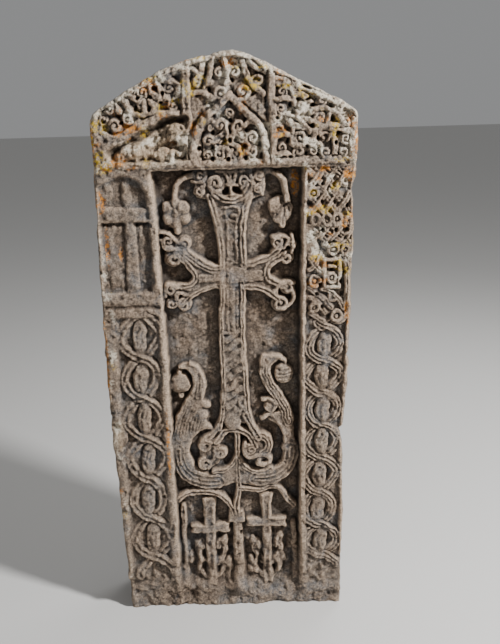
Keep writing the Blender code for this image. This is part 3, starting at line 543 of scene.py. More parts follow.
sink(line((22.2, -4), (34.2, -4), (34.4, 60), (35.6, 80), (37, 100), (22.6, 100)), -1.7, run=0.9)
RIGHT_EYES = (
    (27.4, 24.6), (26.7, 36), (27.4, 48.4), (28.2, 60.2), (28.6, 71.2), (28.5, 82.5), (29.3, 93.4),
)
chain(RIGHT_EYES, 5.2, 100.5, 14, 3, 1.7)
strand(curve((24.3, 149), (23.7, 130), (23, 110), (21.9, 80), (21.5, 50), (21.2, 12)), 0.45, -0.3, fall=0.6)
strand(curve((38.2, 140), (38.6, 131), (37.6, 115), (36.6, 92), (35.6, 76), (35, 67)), 0.7, 0)
boss(25.2, 125, 2.4, 3.2, 0, 0.7)
boss(24.6, 129, 1.6, 1.8, 0, 0.7)

# The sunk panel. It is cut about six centimetres into the stone, with steep sides and a ground left
# rough from the point chisel, and it fades out into worn stone at its foot.
PANEL = -5.7
CROSS = -2.3
LEAF = -2.8
sink(line(
    (-20.4, -4), (20.6, -4), (21.1, 40), (21.8, 76), (22.6, 115), (23.7, 149.2), (-22.8, 149.2),
    (-21.9, 127), (-21.1, 90), (-20.8, 50),
), PANEL, run=0.9)
panel = np.clip((-4 - level) / 1.2, 0, 1)
level += panel * (0.5 * roughness(X, 0, Z, 2.6, 21) + 0.4 * np.abs(roughness(X, 0, Z, 1.2, 22)))

# The cross. Four limbs flare from a narrow crossing and end in leafy scrolls. Grooved fillets run
# along each edge, and the stem carries a column of slanting leaves.
leave(line(
    (-3, 66), (-3.4, 80), (-3, 97), (-2.9, 116), (4, 116), (3.9, 97), (3.9, 80), (5, 66),
), CROSS - 0.5)
leave(line(
    (-2.9, 114), (-2.9, 127), (-4.2, 134), (-6.2, 140), (1, 143), (7.4, 140.4), (5.8, 134), (5.1, 127),
    (5.1, 114),
), CROSS - 0.5)
leave(line(
    (0, 112.2), (-9.5, 110.6), (-14.6, 107.6), (-15.8, 112), (-11.2, 115.8), (-13.4, 119.6),
    (-15.6, 124.6), (-10, 121.2), (0, 119),
), CROSS - 0.5)
leave(line(
    (2, 112.4), (9.6, 111.2), (14.6, 107.8), (15.8, 112), (11.8, 116), (13.6, 119.4), (15.8, 123.6),
    (10.4, 120.4), (2, 119.2),
), CROSS - 0.5)
for half, ridges, knots in (
    (0.95, 2, ((-5, 64.6), (-3.7, 72), (-3.1, 84), (-3.2, 97), (-2.4, 113.6))),
    (0.95, 2, ((5.6, 66.4), (4.2, 73), (3.7, 84), (3.6, 97), (3.8, 113.6))),
    (1.3, 2, ((-2, 117.4), (-2.3, 126), (-3.1, 131.6), (-4.1, 136), (-5.6, 140.4))),
    (1.2, 2, ((4.4, 118), (4.4, 126), (4.6, 132), (5.4, 136.6), (7, 141))),
    (1.75, 3, ((-2.2, 117.9), (-6, 118.5), (-10, 120.6), (-13, 123), (-15.2, 125.6))),
    (1, 2, ((-2, 112.5), (-6, 112.1), (-9.5, 111), (-12.8, 109.2), (-15.2, 106.8))),
    (1.3, 2, ((4.2, 118.9), (7.2, 119.2), (10.2, 120.4), (13, 121.6), (15.6, 124.4))),
    (1.2, 2, ((4.2, 112.5), (9, 111.7), (12.2, 110.2), (15, 107.6))),
    (1.1, 2, (
        (-16.6, 123.4), (-13.4, 120), (-11.4, 117.2), (-10.9, 115.2), (-12.8, 113.2), (-17.4, 112.6),
    )),
    (1.3, 2, ((16.6, 121.4), (12.6, 119), (11.6, 116.2), (13, 113.8), (16.8, 112))),
):
    strand(curve(*knots), half, CROSS + 0.4, ridges, depth=0.65)
for i in range(9):
    z = 69 + 3.2 * i
    strand(curve((-1.9, z), (-0.4, z + 0.8), (0.8, z + 2.4), (2.6, z + 3.2)), 1.05, CROSS + 0.2, fall=0.7)
    groove(curve((-2, z + 1.6), (-0.7, z + 2.4), (0.2, z + 4)), 0.45, 0.4)
leave(line((-1.6, 97), (2.4, 97), (2.5, 112), (-1.5, 112)), CROSS - 0.1)
for x in (-0.5, 1.4):
    groove(line((x, 98), (x, 112)), 0.4, 0.35)
strand(line((-3, 97), (3.9, 97.3)), 0.6, CROSS + 0.2)
for x in (0, 2.4):
    strand(curve(
        (x, 119.6), (x, 127), (1.2 + (x - 1.2) * 1.3, 133), (1.2 + (x - 1.2) * 1.7, 136),
    ), 0.55, CROSS + 0.05)
for knots in (
    ((-0.8, 137.2), (3, 137.2), (3.2, 134.9), (1, 134.6)), ((-1, 135.6), (0.2, 133.4), (2.6, 132.6)),
):
    strand(curve(*knots), 0.5, CROSS + 0.2)
leave(line((-2.6, 113), (4.6, 113), (4.7, 118.2), (-2.6, 118.2)), CROSS)
leave(line((-9.9, 113.8), (-1.8, 114), (-1.6, 116.6), (-9.6, 116.5), (-10.3, 115.2)), CROSS + 0.45)
leave(line((4.4, 113.7), (10.4, 113.9), (11, 115.6), (10.2, 117.2), (4.4, 117.3)), CROSS + 0.2)
groove(line((-9, 115.3), (-3, 115.4)), 0.4, 0.35)
groove(line((-1.8, 113.3), (4.2, 113.4)), 0.45, 0.4)
groove(curve((-1.6, 117.3), (1, 116.2), (3.8, 113.8)), 0.45, 0.2)
groove(line((-1.2, 113.6), (-0.9, 119)), 0.4, 0.4)
boss(-0.5, 67.4, 2.9, 3, CROSS + 0.8, 0.9)
for x in (1.6, 3.4):
    strand(line((x, 69.8), (x, 75.2)), 0.5, CROSS + 0.3)

# The crown of the cross: three crescents under a pair of deep hollows, a big scroll on their left and
# knots of smaller ones to each side.
leave(line(
    (-9.6, 140.4), (-4, 138.6), (1, 137.4), (5.6, 138.8), (11.4, 140.6), (12.2, 148.6), (-9.6, 148.8),
), CROSS - 0.8)


def bow(x, z, radius, start, end):
    """A part of a circle, between two angles in degrees."""
    turn = np.radians(np.linspace(start, end, max(6, round(abs(end - start) * radius / 30))))
    return np.column_stack([x + radius * np.cos(turn), z + radius * np.sin(turn)])


strand(bow(1, 145.6, 5.7, 190, 345), 1.9, CROSS + 0.7, ridges=3, depth=0.9)
drill(0, 142.2, 1.5, 1.1, PANEL + 0.2, 25)
drill(3.2, 142.3, 1.6, 1.1, PANEL + 0.2, -15)
strand(curve((1.3, 140.2), (1.3, 144.6), (1.2, 148.4)), 0.5, CROSS + 0.2)
for knots in (
    ((-0.6, 148.4), (0.4, 146), (0.7, 144)), ((3.4, 148.4), (2.4, 146), (2, 144)),
    ((-3, 148.2), (5.4, 148.2)), ((0.2, 144.1), (3.6, 144)), ((7.4, 148.2), (8, 144.4), (10.9, 140.9)),
    ((-6.2, 148.4), (-6.6, 144.6), (-8, 140.9)), ((6.6, 141.6), (8.2, 143.2), (8, 146.2)),
    ((-10.4, 145.4), (-8, 144.8), (-5.8, 145.6)),
):
    strand(curve(*knots), 0.55, CROSS + 0.25, fall=0.5)
for x, z, radius, start, hand in (
    (5.6, 145.3, 2.2, 290, -1), (-8.4, 142.4, 2, 60, -1), (-7.9, 146.9, 2, 270, 1),
    (10.2, 146.9, 2, 270, -1), (9.7, 142.4, 1.9, 100, 1),
):
    scroll(x, z, radius, start, hand, CROSS + 0.45)
drill(-3.3, 144.6, 2.6, 2.6, CROSS - 0.4)
scroll(-3.3, 144.6, 3.3, 300, -1, CROSS + 0.9, turns=1.35)

# The scrolls that end the arms, three or four on each side, and the deep hollow between each pair.
drill(-15.9, 117, 2.3, 2.3, PANEL)
drill(16.5, 116.4, 2.2, 2.3, PANEL)
for knots in (
    ((-21.8, 130.2), (-18.4, 129.4), (-16.2, 127.2), (-15.2, 125.4)),
    ((19.4, 128.2), (20.2, 125.4), (19.4, 122.6)),
    ((-20.8, 127.2), (-19.6, 124.6), (-16, 124.6), (-13.6, 123.4)),
    ((-20.6, 109.6), (-19.8, 113.6), (-16.2, 112.6), (-13, 111.6)),
    ((13.4, 127.6), (16.4, 128), (18.6, 126.8), (17, 124)),
    ((19.6, 110.2), (19.8, 107.8), (18.4, 105.6)), ((-17, 108.8), (-16.4, 110.6), (-13.6, 109.8)),
    ((20.2, 112.8), (18.4, 113.6), (15.6, 112.4), (13.6, 110.4)),
):
    strand(curve(*knots), 0.65, CROSS + 0.2, fall=0.5, over=0.15)
for x, z, radius, start, hand in (
    (-13.9, 126.4, 2.5, 250, 1), (-18.6, 126.9, 2.3, 300, -1), (-17.4, 121.6, 2.9, 60, -1),
    (15.4, 125.9, 2.6, 280, -1), (17.9, 121, 2.3, 110, 1), (19.7, 125.2, 1.4, 200, -1),
    (-18.4, 111.8, 2.5, 40, 1), (-14.7, 106.7, 2.6, 100, 1), (-18.6, 107.2, 2, 20, -1),
    (18, 111.3, 2.3, 160, -1), (15.5, 106.1, 2.9, 80, -1),
):
    scroll(x, z, radius, start, hand, CROSS + 0.3)

# The foot of the cross: a low arch over a split stalk, three linked scrolls on the left and a ribbed
# wing that curls down on the right.
strand(curve(
    (-6.4, 60.4), (-4, 63.2), (-1.6, 64.2), (1, 64.4), (3.6, 63), (5.6, 60.4), (6.6, 58),
), 1.1, CROSS + 0.3, ridges=2)
strand(curve((0.5, 63.8), (0.5, 56), (0.4, 50), (0.4, 46)), 1, LEAF + 0.5, ridges=2)
strand(curve((0.8, 54), (2.2, 51.4), (5, 49.3), (8.6, 48.7), (11.6, 49.7)), 0.85, LEAF + 0.4, ridges=2)
strand(curve((0, 54), (-1.6, 51.6), (-4.2, 49.8), (-7.6, 49.2)), 0.85, LEAF + 0.4, ridges=2)
boss(-8.2, 56.2, 3.6, 5.2, CROSS - 0.5, 0.8)
boss(7.4, 57, 4.4, 4.4, CROSS - 0.5, 0.8)
strand(curve((-3.9, 69), (-5.4, 65.4), (-8.2, 62.2), (-11, 60.6)), 1.1, CROSS + 0.25, ridges=2)
for x, z, radius, start, hand in (
    (-9.9, 58.9, 2.9, 30, 1), (-4.9, 56.1, 2.5, 160, -1), (-10, 52.5, 2.8, 100, 1),
    (4.9, 57.3, 2.4, 60, 1),
):
    scroll(x, z, radius, start, hand, CROSS + 0.35, turns=1.6)
strand(curve((-7.4, 58.6), (-6.9, 55), (-8.2, 53.4)), 0.7, CROSS + 0.3)
strand(curve((3.6, 69.6), (5.4, 65.2), (7.6, 61.2)), 1.5, CROSS + 0.6, ridges=2, depth=0.8)
strand(curve((7, 61.8), (9.2, 61.4), (10.8, 59.4), (10.4, 56.6), (8.6, 55.6)), 1.5, CROSS + 0.5, ridges=3)
strand(curve(
    (3, 59.6), (2.7, 56.4), (4.4, 54.6), (7.2, 55.2), (9.8, 54.8), (11.2, 53.2), (9.8, 51.6), (7.4, 52),
    (7.4, 53.6),
), 0.8, CROSS + 0.6)

# The hanging fruits, one on a bent stalk at each side of the cross's head.
strand(curve(
    (-9.8, 147.4), (-13, 146.4), (-15.4, 144.6), (-16, 141), (-15.9, 139),
), 0.9, LEAF + 0.2, fall=0.8)
strand(curve((12, 147.9), (15, 147.1), (17.2, 145), (18, 141.8), (18.6, 138.6)), 0.9, LEAF + 0.3, fall=0.8)
boss(-16, 135.4, 4.2, 4.6, LEAF - 0.3, 1.4)
boss(16.3, 135.9, 3.4, 4.4, LEAF - 0.1, 1.4)
for x, z, wide, high in (
    (-18.4, 137.4, 2, 2.1), (-13.7, 137.3, 2.1, 2.2), (-15.9, 132.9, 2.2, 2.1), (-18.8, 134.2, 1.7, 1.9),
    (-13.3, 133.9, 1.8, 1.9), (-15.6, 130.6, 1.2, 1.5), (-16, 139, 1.8, 1.4), (-16, 136, 1.3, 1.4),
    (14.2, 137, 1.7, 2.2), (18.6, 135.6, 1.5, 2.6), (15.8, 133.4, 1.9, 1.9), (16.6, 131.4, 1.1, 1.4),
):
    boss(x, z, wide, high, LEAF + 0.35, 0.9)
for knots in (
    ((-15.4, 137.4), (-14.6, 139.6)), ((-17, 137.8), (-17.6, 139.4)), ((-17.6, 135.4), (-19.8, 136)),
    ((-16.6, 134.2), (-17.6, 132.4)), ((-14, 135.6), (-11.8, 135.4)), ((-14.4, 133.2), (-14.2, 131.6)),
):
    groove(line(*knots), 0.55, 0.45)
for knots in (
    ((16.6, 139.8), (15.8, 137.6), (13.4, 136.4)), ((16.8, 139.4), (16.2, 135.8), (14.4, 133.4)),
    ((17.2, 139.4), (17.4, 135.6), (16.6, 131.4)), ((17.6, 138.6), (18.9, 136), (18.9, 133.2)),
    ((17.2, 137), (18.8, 137.8), (19.6, 136.8)),
):
    groove(curve(*knots), 0.45, 0.55)

# The two great half leaves that cradle the cross, ribbed along their curve, with hooked tips and a
# round bud in each hook.
leave(line(
    (0.4, 45.4), (-5, 43.9), (-10.4, 43.2), (-15, 45), (-18.6, 48.6), (-20.6, 53), (-20.7, 60),
    (-19.6, 68.4), (-16, 75), (-13.6, 78), (-12.7, 81.4), (-13.3, 83.6), (-15, 85), (-17.2, 85.4),
    (-16.4, 87.3), (-13.6, 87.5), (-11, 86.3), (-9.2, 84), (-8.6, 81), (-9.2, 77.6), (-10.4, 75.8),
    (-8.5, 73.2), (-10.6, 71.6), (-9.4, 68), (-7.3, 64.3), (-11.4, 63.9), (-14.4, 60.6), (-15.1, 56.8),
    (-13.6, 51.4), (-11, 49), (-7, 48.1), (-3, 50), (0.2, 52.4),
), LEAF, fall=0.8, edge=0.9)
leave(line(
    (0.8, 45.2), (4, 44.1), (8.4, 43.2), (13, 44), (16.6, 46.6), (18.9, 51), (19.5, 57), (19.4, 63.6),
    (18.2, 68.6), (17.2, 73.6), (14.8, 77), (12.6, 79.6), (11.9, 82.2), (12.5, 85.4), (14.8, 87.3),
    (17.4, 85.9), (17.6, 87.8), (15.4, 89.5), (12.4, 89.7), (10, 88.3), (8.6, 86), (8.6, 82.4),
    (9.4, 79.2), (11.4, 76.6), (13.8, 73.4), (15.4, 70.6), (12.6, 69.6), (10.4, 67.5), (13.2, 65.8),
    (15.5, 62.8), (16.1, 58.6), (15.4, 52.8), (12.6, 49.6), (8.4, 48.2), (4, 49.6), (1, 53),
), LEAF, fall=0.8, edge=0.9)
for x, radius, start, end in ((-8.8, 10.2, 172, 285), (8.6, 9.7, 255, 368)):
    strand(bow(x, 55.9, radius, start, end), 2.7, LEAF + 0.5, ridges=4, depth=0.75)
for i in range(9):
    dx = 1.15 * i
    groove(curve(
        (-20 + dx, 61 + 0.5 * i), (-18.8 + dx, 66 + 0.4 * i), (-15.8 + 0.75 * dx, 73.4 - 0.3 * i),
    ), 0.36, 0.26)
for knots in (
    ((-13.4, 77.4), (-12.4, 81), (-12.9, 83.8), (-14.8, 85.6), (-17, 86.2)),
    ((-10.2, 75.6), (-9.5, 79), (-9.6, 82.4), (-11.2, 85.6), (-13.8, 87.2)),
    ((16.9, 87), (14.6, 88.6), (12.2, 88.2), (11.2, 86)),
    ((9.2, 74.2), (11.6, 74.4), (13.4, 72.2), (12.2, 70.4), (10.2, 71.4)),
    ((8.6, 67.9), (11.4, 69.2), (14.2, 66.6), (15.8, 63.4), (16.2, 59.6)),
):
    strand(curve(*knots), 0.7, LEAF + 0.5, fall=0.6)
strand(curve(
    (10.6, 88), (10.3, 83.4), (12, 78.8), (14.4, 75), (16.6, 70.8), (17.6, 66.4),
), 1.9, LEAF + 0.5, ridges=4)
strand(curve((-11.6, 76), (-10.9, 79.6), (-11.2, 83), (-13, 85.8)), 1.1, LEAF + 0.35, ridges=2, depth=0.4)
for x, z, wide, high, tilt in (
    (16.7, 57, 1.9, 2.1, 0), (13.4, 67.6, 2.6, 1.3, -35), (17.3, 62.4, 1.6, 2, 0),
    (11.6, 72.2, 2, 2, 0), (-9.4, 73, 1.9, 1.6, -30), (-9.4, 65.8, 2.6, 1.2, -35),
    (-10.6, 69.4, 1.8, 2.2, 10),
):
    boss(x, z, wide, high, LEAF + 0.3, 0.9, tilt)
boss(-17.2, 80.4, 3.4, 3.4, LEAF + 0.6, 1.5)
boss(-17.3, 84.2, 0.9, 1, LEAF, 0.8)
boss(-17.1, 76.4, 0.9, 1, LEAF, 0.8)
boss(16.4, 82.8, 3, 3.3, LEAF + 0.6, 1.4)
for dz in (-2, -0.8, 0.4, 1.6):
    groove(curve((13.6, 82.8 + dz), (16.4, 82.4 + dz), (19.2, 82.8 + dz)), 0.36, 0.35)

# Under the leaves, two small arches on a middle column, each with a cross that stands among leaves.
strand(curve(
    (-20, 39.4), (-17, 41.6), (-12.4, 42.2), (-9, 42.1), (-6, 41), (-3.8, 39), (-2.2, 36.4),
    (-1.2, 33.6),
), 1.1, LEAF + 0.5, ridges=2)
strand(curve(
    (0.6, 43.2), (4, 42.6), (8, 42.4), (11, 43.2), (13.6, 42.7), (15.4, 40.8), (17, 38.6), (18.8, 36.6),
), 1, LEAF + 0.5, ridges=2)
strand(curve((0.6, 46.6), (0.5, 43), (-0.4, 38.6), (-0.6, 34)), 1.1, LEAF + 0.5, ridges=2)
leave(line((-3.4, 30.6), (2.4, 30.6), (2, 35), (-3, 35)), LEAF + 0.2)
leave(line((-2, 6), (1.7, 6), (1.5, 32), (-1.8, 32)), LEAF - 0.1, edge=0.9)
strand(line((-0.2, 8), (-0.2, 31.6)), 1, LEAF + 0.3, ridges=2)
strand(curve((-18.4, 37), (-18.5, 24), (-18.2, 8)), 1, LEAF - 0.1, ridges=2, fall=0.9)
strand(curve((18.6, 30), (18.9, 20), (18.6, 8)), 0.9, LEAF - 1.2, fall=0.9)
for x, low, high, half, arm, reach in ((-9.6, 8, 39.6, 1.8, 28.8, 6.2), (9.6, 8, 40.8, 1.7, 30.6, 6.4)):
    leave(line(
        (x - half, low), (x + half, low), (x + half - 0.2, arm), (x + half + 0.6, high),
        (x, high + 0.6), (x - half - 0.6, high), (x - half + 0.2, arm),
    ), LEAF - 0.1, edge=0.8)
    leave(line(
        (x - reach, arm - 1.7), (x, arm - 1.1), (x + reach, arm - 1.7), (x + reach + 0.3, arm + 1.7),
        (x, arm + 1.1), (x - reach - 0.3, arm + 1.7),
    ), LEAF + 0.1, edge=0.8)
    for side in (-1, 1):
        strand(curve(
            (x + side * half * 0.62, low), (x + side * half * 0.55, arm),
            (x + side * half * 0.8, high - 0.6),
        ), 0.6, LEAF + 0.35)
        strand(line(
            (x - reach, arm + side * 1.25), (x, arm + side * 0.9), (x + reach, arm + side * 1.25),
        ), 0.6, LEAF + 0.4)
        for low_z, out, rise in ((10, 4.4, 7), (16, 4.8, 7.5)):
            strand(curve(
                (x + side * 1.2, low_z), (x + side * (out - 1.4), low_z + 1.4),
                (x + side * out, low_z + 0.6 * rise), (x + side * (out - 1.6), low_z + rise),
                (x + side * (out - 2.3), low_z + 0.7 * rise),
            ), 0.9, LEAF - 0.1, ridges=2, fall=0.8)
for x, z, wide, high, tilt in (
    (-13.9, 21.4, 1.2, 2.8, 10), (-5, 23, 1.3, 2.8, -8), (-16.4, 17.6, 1.2, 2.6, 0),
    (-3.6, 14.8, 1.3, 3, 6), (5, 21.8, 1.3, 3.2, 4), (3.8, 14.4, 1.2, 3.4, 0),
    (14.2, 17, 1.4, 2.8, 12), (-12.6, 27, 2.6, 0.8, 5), (14, 24.6, 1.2, 1.8, 0),
):
    boss(x, z, wide, high, LEAF - 0.5, 0.9, tilt)
for x, z, wide, high in (
    (-14.4, 25, 0.9, 1.2), (-6.3, 25.8, 0.8, 1.3), (-7.3, 12.8, 0.8, 1.5), (-12.2, 14.6, 0.8, 1.5),
    (5.9, 26, 1, 1.4), (14.6, 28, 1.3, 1), (6.7, 16.4, 0.8, 1.4), (16.4, 22, 1.2, 2.6),
    (0.9, 26.6, 0.6, 0.9),
):
    drill(x, z, wide, high, PANEL)

# Wear. Rain, frost and lichen have rounded the crests, run the strands together, bitten the edges and
# pitted the stone. The foot, which stood in the earth's splash, has lost most of its carving.


def blur(values, cells):
    """The mean of the values round each point, over a square of cells."""
    for axis in (0, 1):
        padded = np.pad(values, [(cells + 1, cells) if a == axis else (0, 0) for a in (0, 1)], mode="edge")
        total = np.cumsum(padded, axis=axis)
        size = values.shape[axis]
        high = np.take(total, np.arange(size) + 2 * cells + 1, axis=axis)
        low = np.take(total, np.arange(size), axis=axis)
        values = (high - low) / (2 * cells + 1)
    return values


splash = ease((26 + 8 * (np.abs(X) < 21) + 6 * roughness(X, 0, Z, 7, 30) - Z) / 16)
streaks = 0.55 * roughness(X / 0.8, 0, Z / 2.6, 1.6, 31) + 0.4 * roughness(X, 0, Z, 1.3, 32)
streaks += 0.3 * roughness(X, 0, Z / 2, 0.9, 55)
level += splash * (0.62 * (blur(level, 5) - level) + 1.5 * streaks)
foot = ease((15 + 5 * roughness(X, 0, Z, 5, 33) - Z) / 11)
worn = -1.9 + layered(X, 0, Z, (1.1, 5, 34), (0.9, 2.2, 35)) - 0.5 * np.abs(roughness(X, 0, Z, 1.1, 36))
level += foot * (worn - level) * 0.9

tired = ease(0.12 + layered(X, 0, Z, (0.9, 5.5, 37), (0.4, 2, 38)))
level += 0.6 * tired * (blur(level, 4) - level)
soft = blur(level, 1)
steep = np.hypot(*np.gradient(soft)) / 0.45
level += (soft - level) * np.clip(np.maximum(0.2 + 0.4 * roughness(X, 0, Z, 4, 39), steep - 0.7), 0, 1)
chipped = np.clip(layered(X, 0, Z, (1, 2.4, 40), (0.6, 1.1, 41)) - 0.42, 0, 1)
level -= 1.4 * chipped * np.clip((level + 1.2) / 1.2, 0, 1)
level += layered(X, 0, Z, (0.25, 6, 42), (0.27, 2.6, 43), (0.2, 1.2, 44))
exposed = 1 + 0.9 * ease((Z - 148) / 4) + 1.4 * np.clip(1 - from_top / 3, 0, 1)
level -= 0.28 * np.abs(roughness(X, 0, Z, 1.5, 45)) * exposed
level -= 0.24 * np.abs(roughness(X, 0, Z, 0.8, 46)) * exposed
level -= 0.6 * np.clip(roughness(X, 0, Z, 1.0, 47) - 0.42, 0, 1)
level -= 0.54 * np.clip(roughness(X, 0, Z, 0.6, 48) - 0.45, 0, 1)
in_scar = np.zeros(level.shape)
place = near(SCAR, 0)
in_scar[place] = within(SCAR, place)
facets = -0.9
for share, size, seed in ((1.9, 3.6, 49), (1.14, 1.6, 50), (0.57, 0.8, 51)):
    facets = facets + share * np.abs(roughness(X, 0, Z, size, seed))
level += in_scar * facets

TOP_WEAR = 1.7
SIDE_WEAR = 1.3
bite = np.clip(0.5 + layered(X, 0, Z, (0.6, 4.5, 52), (0.4, 1.8, 53)), 0, 1.4)
side_gap = np.clip(from_side / (SIDE_WEAR * (0.4 + 1.2 * bite)), 0, 1)
top_gap = np.clip(from_top / (TOP_WEAR * (0.7 + 0.6 * bite)), 0, 1)
level -= 1.25 * SIDE_WEAR * (1 - np.sqrt(1 - (1 - side_gap) ** 2))
level -= 1.35 * TOP_WEAR * (1 - np.sqrt(1 - (1 - top_gap) ** 2))

# The skin of the stone. The carved front is joined to the rough sides and top, which go back to a
# plainer back that was only trimmed with a point chisel. The underside is the flat cut at the ground.
SIDE_RINGS = 38
LEFT_SWELL = 1.5
SWELL_Z = 120.0
SWELL_REACH = 24.0
SWELL_BACK = 0.86
ROUNDED_BACK = 0.93


def ring_of(grid):
    """The values round the rim of a grid, anticlockwise from the lower left corner as the front is seen."""
    return np.concatenate([grid[0, :-1], grid[:-1, -1], grid[-1, :0:-1], grid[:0:-1, 0]])


def quads(rows, columns, first, flip):
    """The triangles of a grid of corners that starts at a number."""
    a = first + np.arange(rows - 1)[:, None] * columns + np.arange(columns - 1)[None, :]
    a = a.ravel()
    b, c, d = a + 1, a + columns + 1, a + columns
    faces = np.concatenate([np.column_stack([a, b, c]), np.column_stack([a, c, d])])
    return faces[:, ::-1] if flip else faces


def zip_rings(fine, coarse):
    """The triangles between a ring and one with half as many corners, which lies behind it."""
    f0, f1, f2 = fine[0::2], fine[1::2], np.roll(fine, -2)[0::2]
    a, b = coarse, np.roll(coarse, -1)
    return np.concatenate([np.column_stack(corners) for corners in ((f0, a, f1), (a, b, f1), (f1, b, f2))])


wobble = 0.05 * roughness(X, 0, Z, 1.2, 60)
front = np.column_stack([(X + wobble).ravel(), -level.ravel(), Z.ravel()])
front_numbers = np.arange(ROWS * COLUMNS).reshape(ROWS, COLUMNS)
triangles = [quads(ROWS, COLUMNS, 0, False)]
rim_numbers = ring_of(front_numbers)
rim = front[rim_numbers]

coarse_rim = rim[::2]
rim_across = ring_of(np.broadcast_to(across, (ROWS, COLUMNS)))[::2]
rim_up = ring_of(np.broadcast_to(up[:, None], (ROWS, COLUMNS)))[::2]
on_left, on_right = rim_across == 0, rim_across == 1
on_top, on_bottom = rim_up == 1, rim_up == 0
rings, ring_relief, count = [], [], len(front)
share = np.linspace(0, 1, SIDE_RINGS + 1)[1:]
for t in share:
    x, z = coarse_rim[:, 0].copy(), coarse_rim[:, 2].copy()
    y = coarse_rim[:, 1] + (-BACK_LEVEL - coarse_rim[:, 1]) * t
    rounded = 1.3 * np.clip((t - ROUNDED_BACK) / (1 - ROUNDED_BACK), 0, 1) ** 2
    slant = 0.6 * z + 0.8 * (x + y) + 1.5 * roughness(x, y, z, 7, 55)
    hump = math.sin(math.pi * t / SWELL_BACK) ** 0.7 if t < SWELL_BACK else 0
    furrows = np.abs(np.sin(math.pi * slant / 3.0)) ** 0.6 - 0.7
    lumps = layered(x, y, z, (0.75, 12, 52), (0.5, 4.5, 53), (0.3, 1.8, 54))
    lumps = lumps + 0.45 * ease(0.5 + 1.2 * roughness(x, y, z, 15, 56)) * furrows
    swell = LEFT_SWELL * np.exp(-(((z - SWELL_Z) / SWELL_REACH) ** 2)) * hump
    free = min(1, 6 * t) * min(1, 8 * (1 - t))
    inward = (1.0 - lumps) * free + rounded
    ring_relief.append(lumps * free)
    x = x + on_left * (inward - swell) - on_right * inward
    z = z - on_top * inward
    z = np.where(on_bottom, 0, np.maximum(z, 0))
    rings.append(np.column_stack([x, y, z]))
ring_size = len(coarse_rim)
ring_numbers = [count + i * ring_size + np.arange(ring_size) for i in range(SIDE_RINGS)]
triangles.append(zip_rings(rim_numbers, ring_numbers[0]))
for a, b in zip(ring_numbers, ring_numbers[1:]):
    a1, b1 = np.roll(a, -1), np.roll(b, -1)
    triangles += [np.column_stack([a, b, b1]), np.column_stack([a, b1, a1])]
count += SIDE_RINGS * ring_size

# The back takes every fourth corner of the front's plan, shrunk a little to meet the last ring.
BACK_STEP = 4
back_x = X[::BACK_STEP, ::BACK_STEP]
back_z = Z[::BACK_STEP, ::BACK_STEP]
back_across = across[::BACK_STEP]
back_up = up[::BACK_STEP][:, None]
inset = np.minimum(np.minimum(back_across, 1 - back_across)[None, :] * 80, (1 - back_up) * 180)
fade = np.exp(-inset / 1.2)
back_x = back_x * (1 - 1.35 * fade / 40)
back_z = back_z * np.where(back_up > 0, 1 - 1.4 * fade / 180 * back_up**6, 0)
slant = 0.8 * back_x + 0.6 * back_z + 1.5 * roughness(back_x, 0, back_z, 7, 64)
furrows = np.abs(np.sin(math.pi * slant / 3.2)) ** 0.6 - 0.7
tooling = layered(back_x, 0, back_z, (0.7, 13, 61), (0.5, 4.5, 62), (0.3, 1.8, 63))
tooling += 0.5 * ease(0.5 + 1.2 * roughness(back_x, 0, back_z, 16, 65)) * furrows
back_y = -BACK_LEVEL - 0.1 - (1 - np.exp(-inset / 1.5)) * (0.9 - 0.8 * tooling)
back_y = np.minimum(back_y, -BACK_LEVEL)
back = np.column_stack([back_x.ravel(), back_y.ravel(), back_z.ravel()])
back_rows, back_columns = back_x.shape
back_numbers = count + np.arange(len(back)).reshape(back_rows, back_columns)
triangles.append(zip_rings(ring_numbers[-1], ring_of(back_numbers)))
triangles.append(quads(back_rows, back_columns, count, True))

corners = np.concatenate([front, *rings, back])
corners[:, 0] = (corners[:, 0] - FACE_MIDDLE_X) * CM
corners[:, 1] = (corners[:, 1] - FACE_TO_MIDDLE) * CM
corners[:, 2] *= CM
corners = np.clip(corners, np.array(cad_box[0]), np.array(cad_box[1]))
triangles = np.concatenate(triangles)

# What has settled on the stone, with painted light and shade: dirt and painted shade in the hollows, a
# painted shadow along the scar's undercut, paler rubbed stone with a painted highlight on the crests,
# pale crust on the crests and the weather edges, orange and yellow lichen in patches, and the paler,
# warmer stone of the scar.
# The hollow layer is dirt and painted shade: the lower a point lies below the stone round it, and the
# deeper the ground is cut, the darker it is painted.
fine_hollow = np.clip((blur(level, 3) - level) / 0.55, -1, 1)
wide_hollow = np.clip((blur(level, 12) - level) / 1.6, -1, 1)
hollow = np.clip(0.75 * fine_hollow + 0.38 * wide_hollow + 0.24 * np.clip((-2.0 - level) / 3.4, 0, 1), 0, 1)
# A painted shadow: a dark band painted along the undercut edge over the scar.
place = near(UNDERCUT, 2.2)
away, _ = distance(UNDERCUT, place)
hollow[place] = np.maximum(hollow[place], np.clip(1.5 - away / 1.1, 0, 1))
# The crest layer paints raised stone paler: partly rubbed wear, partly a painted highlight.
crest = np.clip(-0.8 * fine_hollow - 0.5 * wide_hollow + 0.1, 0, 1)
edge_crust = np.clip(1.4 - from_top / 2.8, 0, 1)
shoulder = np.clip(1 - np.hypot(X - 37, Z - 164) / 7, 0, 1)
crust = np.clip(edge_crust * (0.85 + 0.5 * roughness(X, 0, Z, 3, 71)) + 0.8 * shoulder, 0, 1)


def patch(x, z, wide, high):
    """How strongly a patch covers each carved point."""
    return np.clip(1.25 - np.hypot((X - x) / wide, (Z - z) / high), 0, 1)


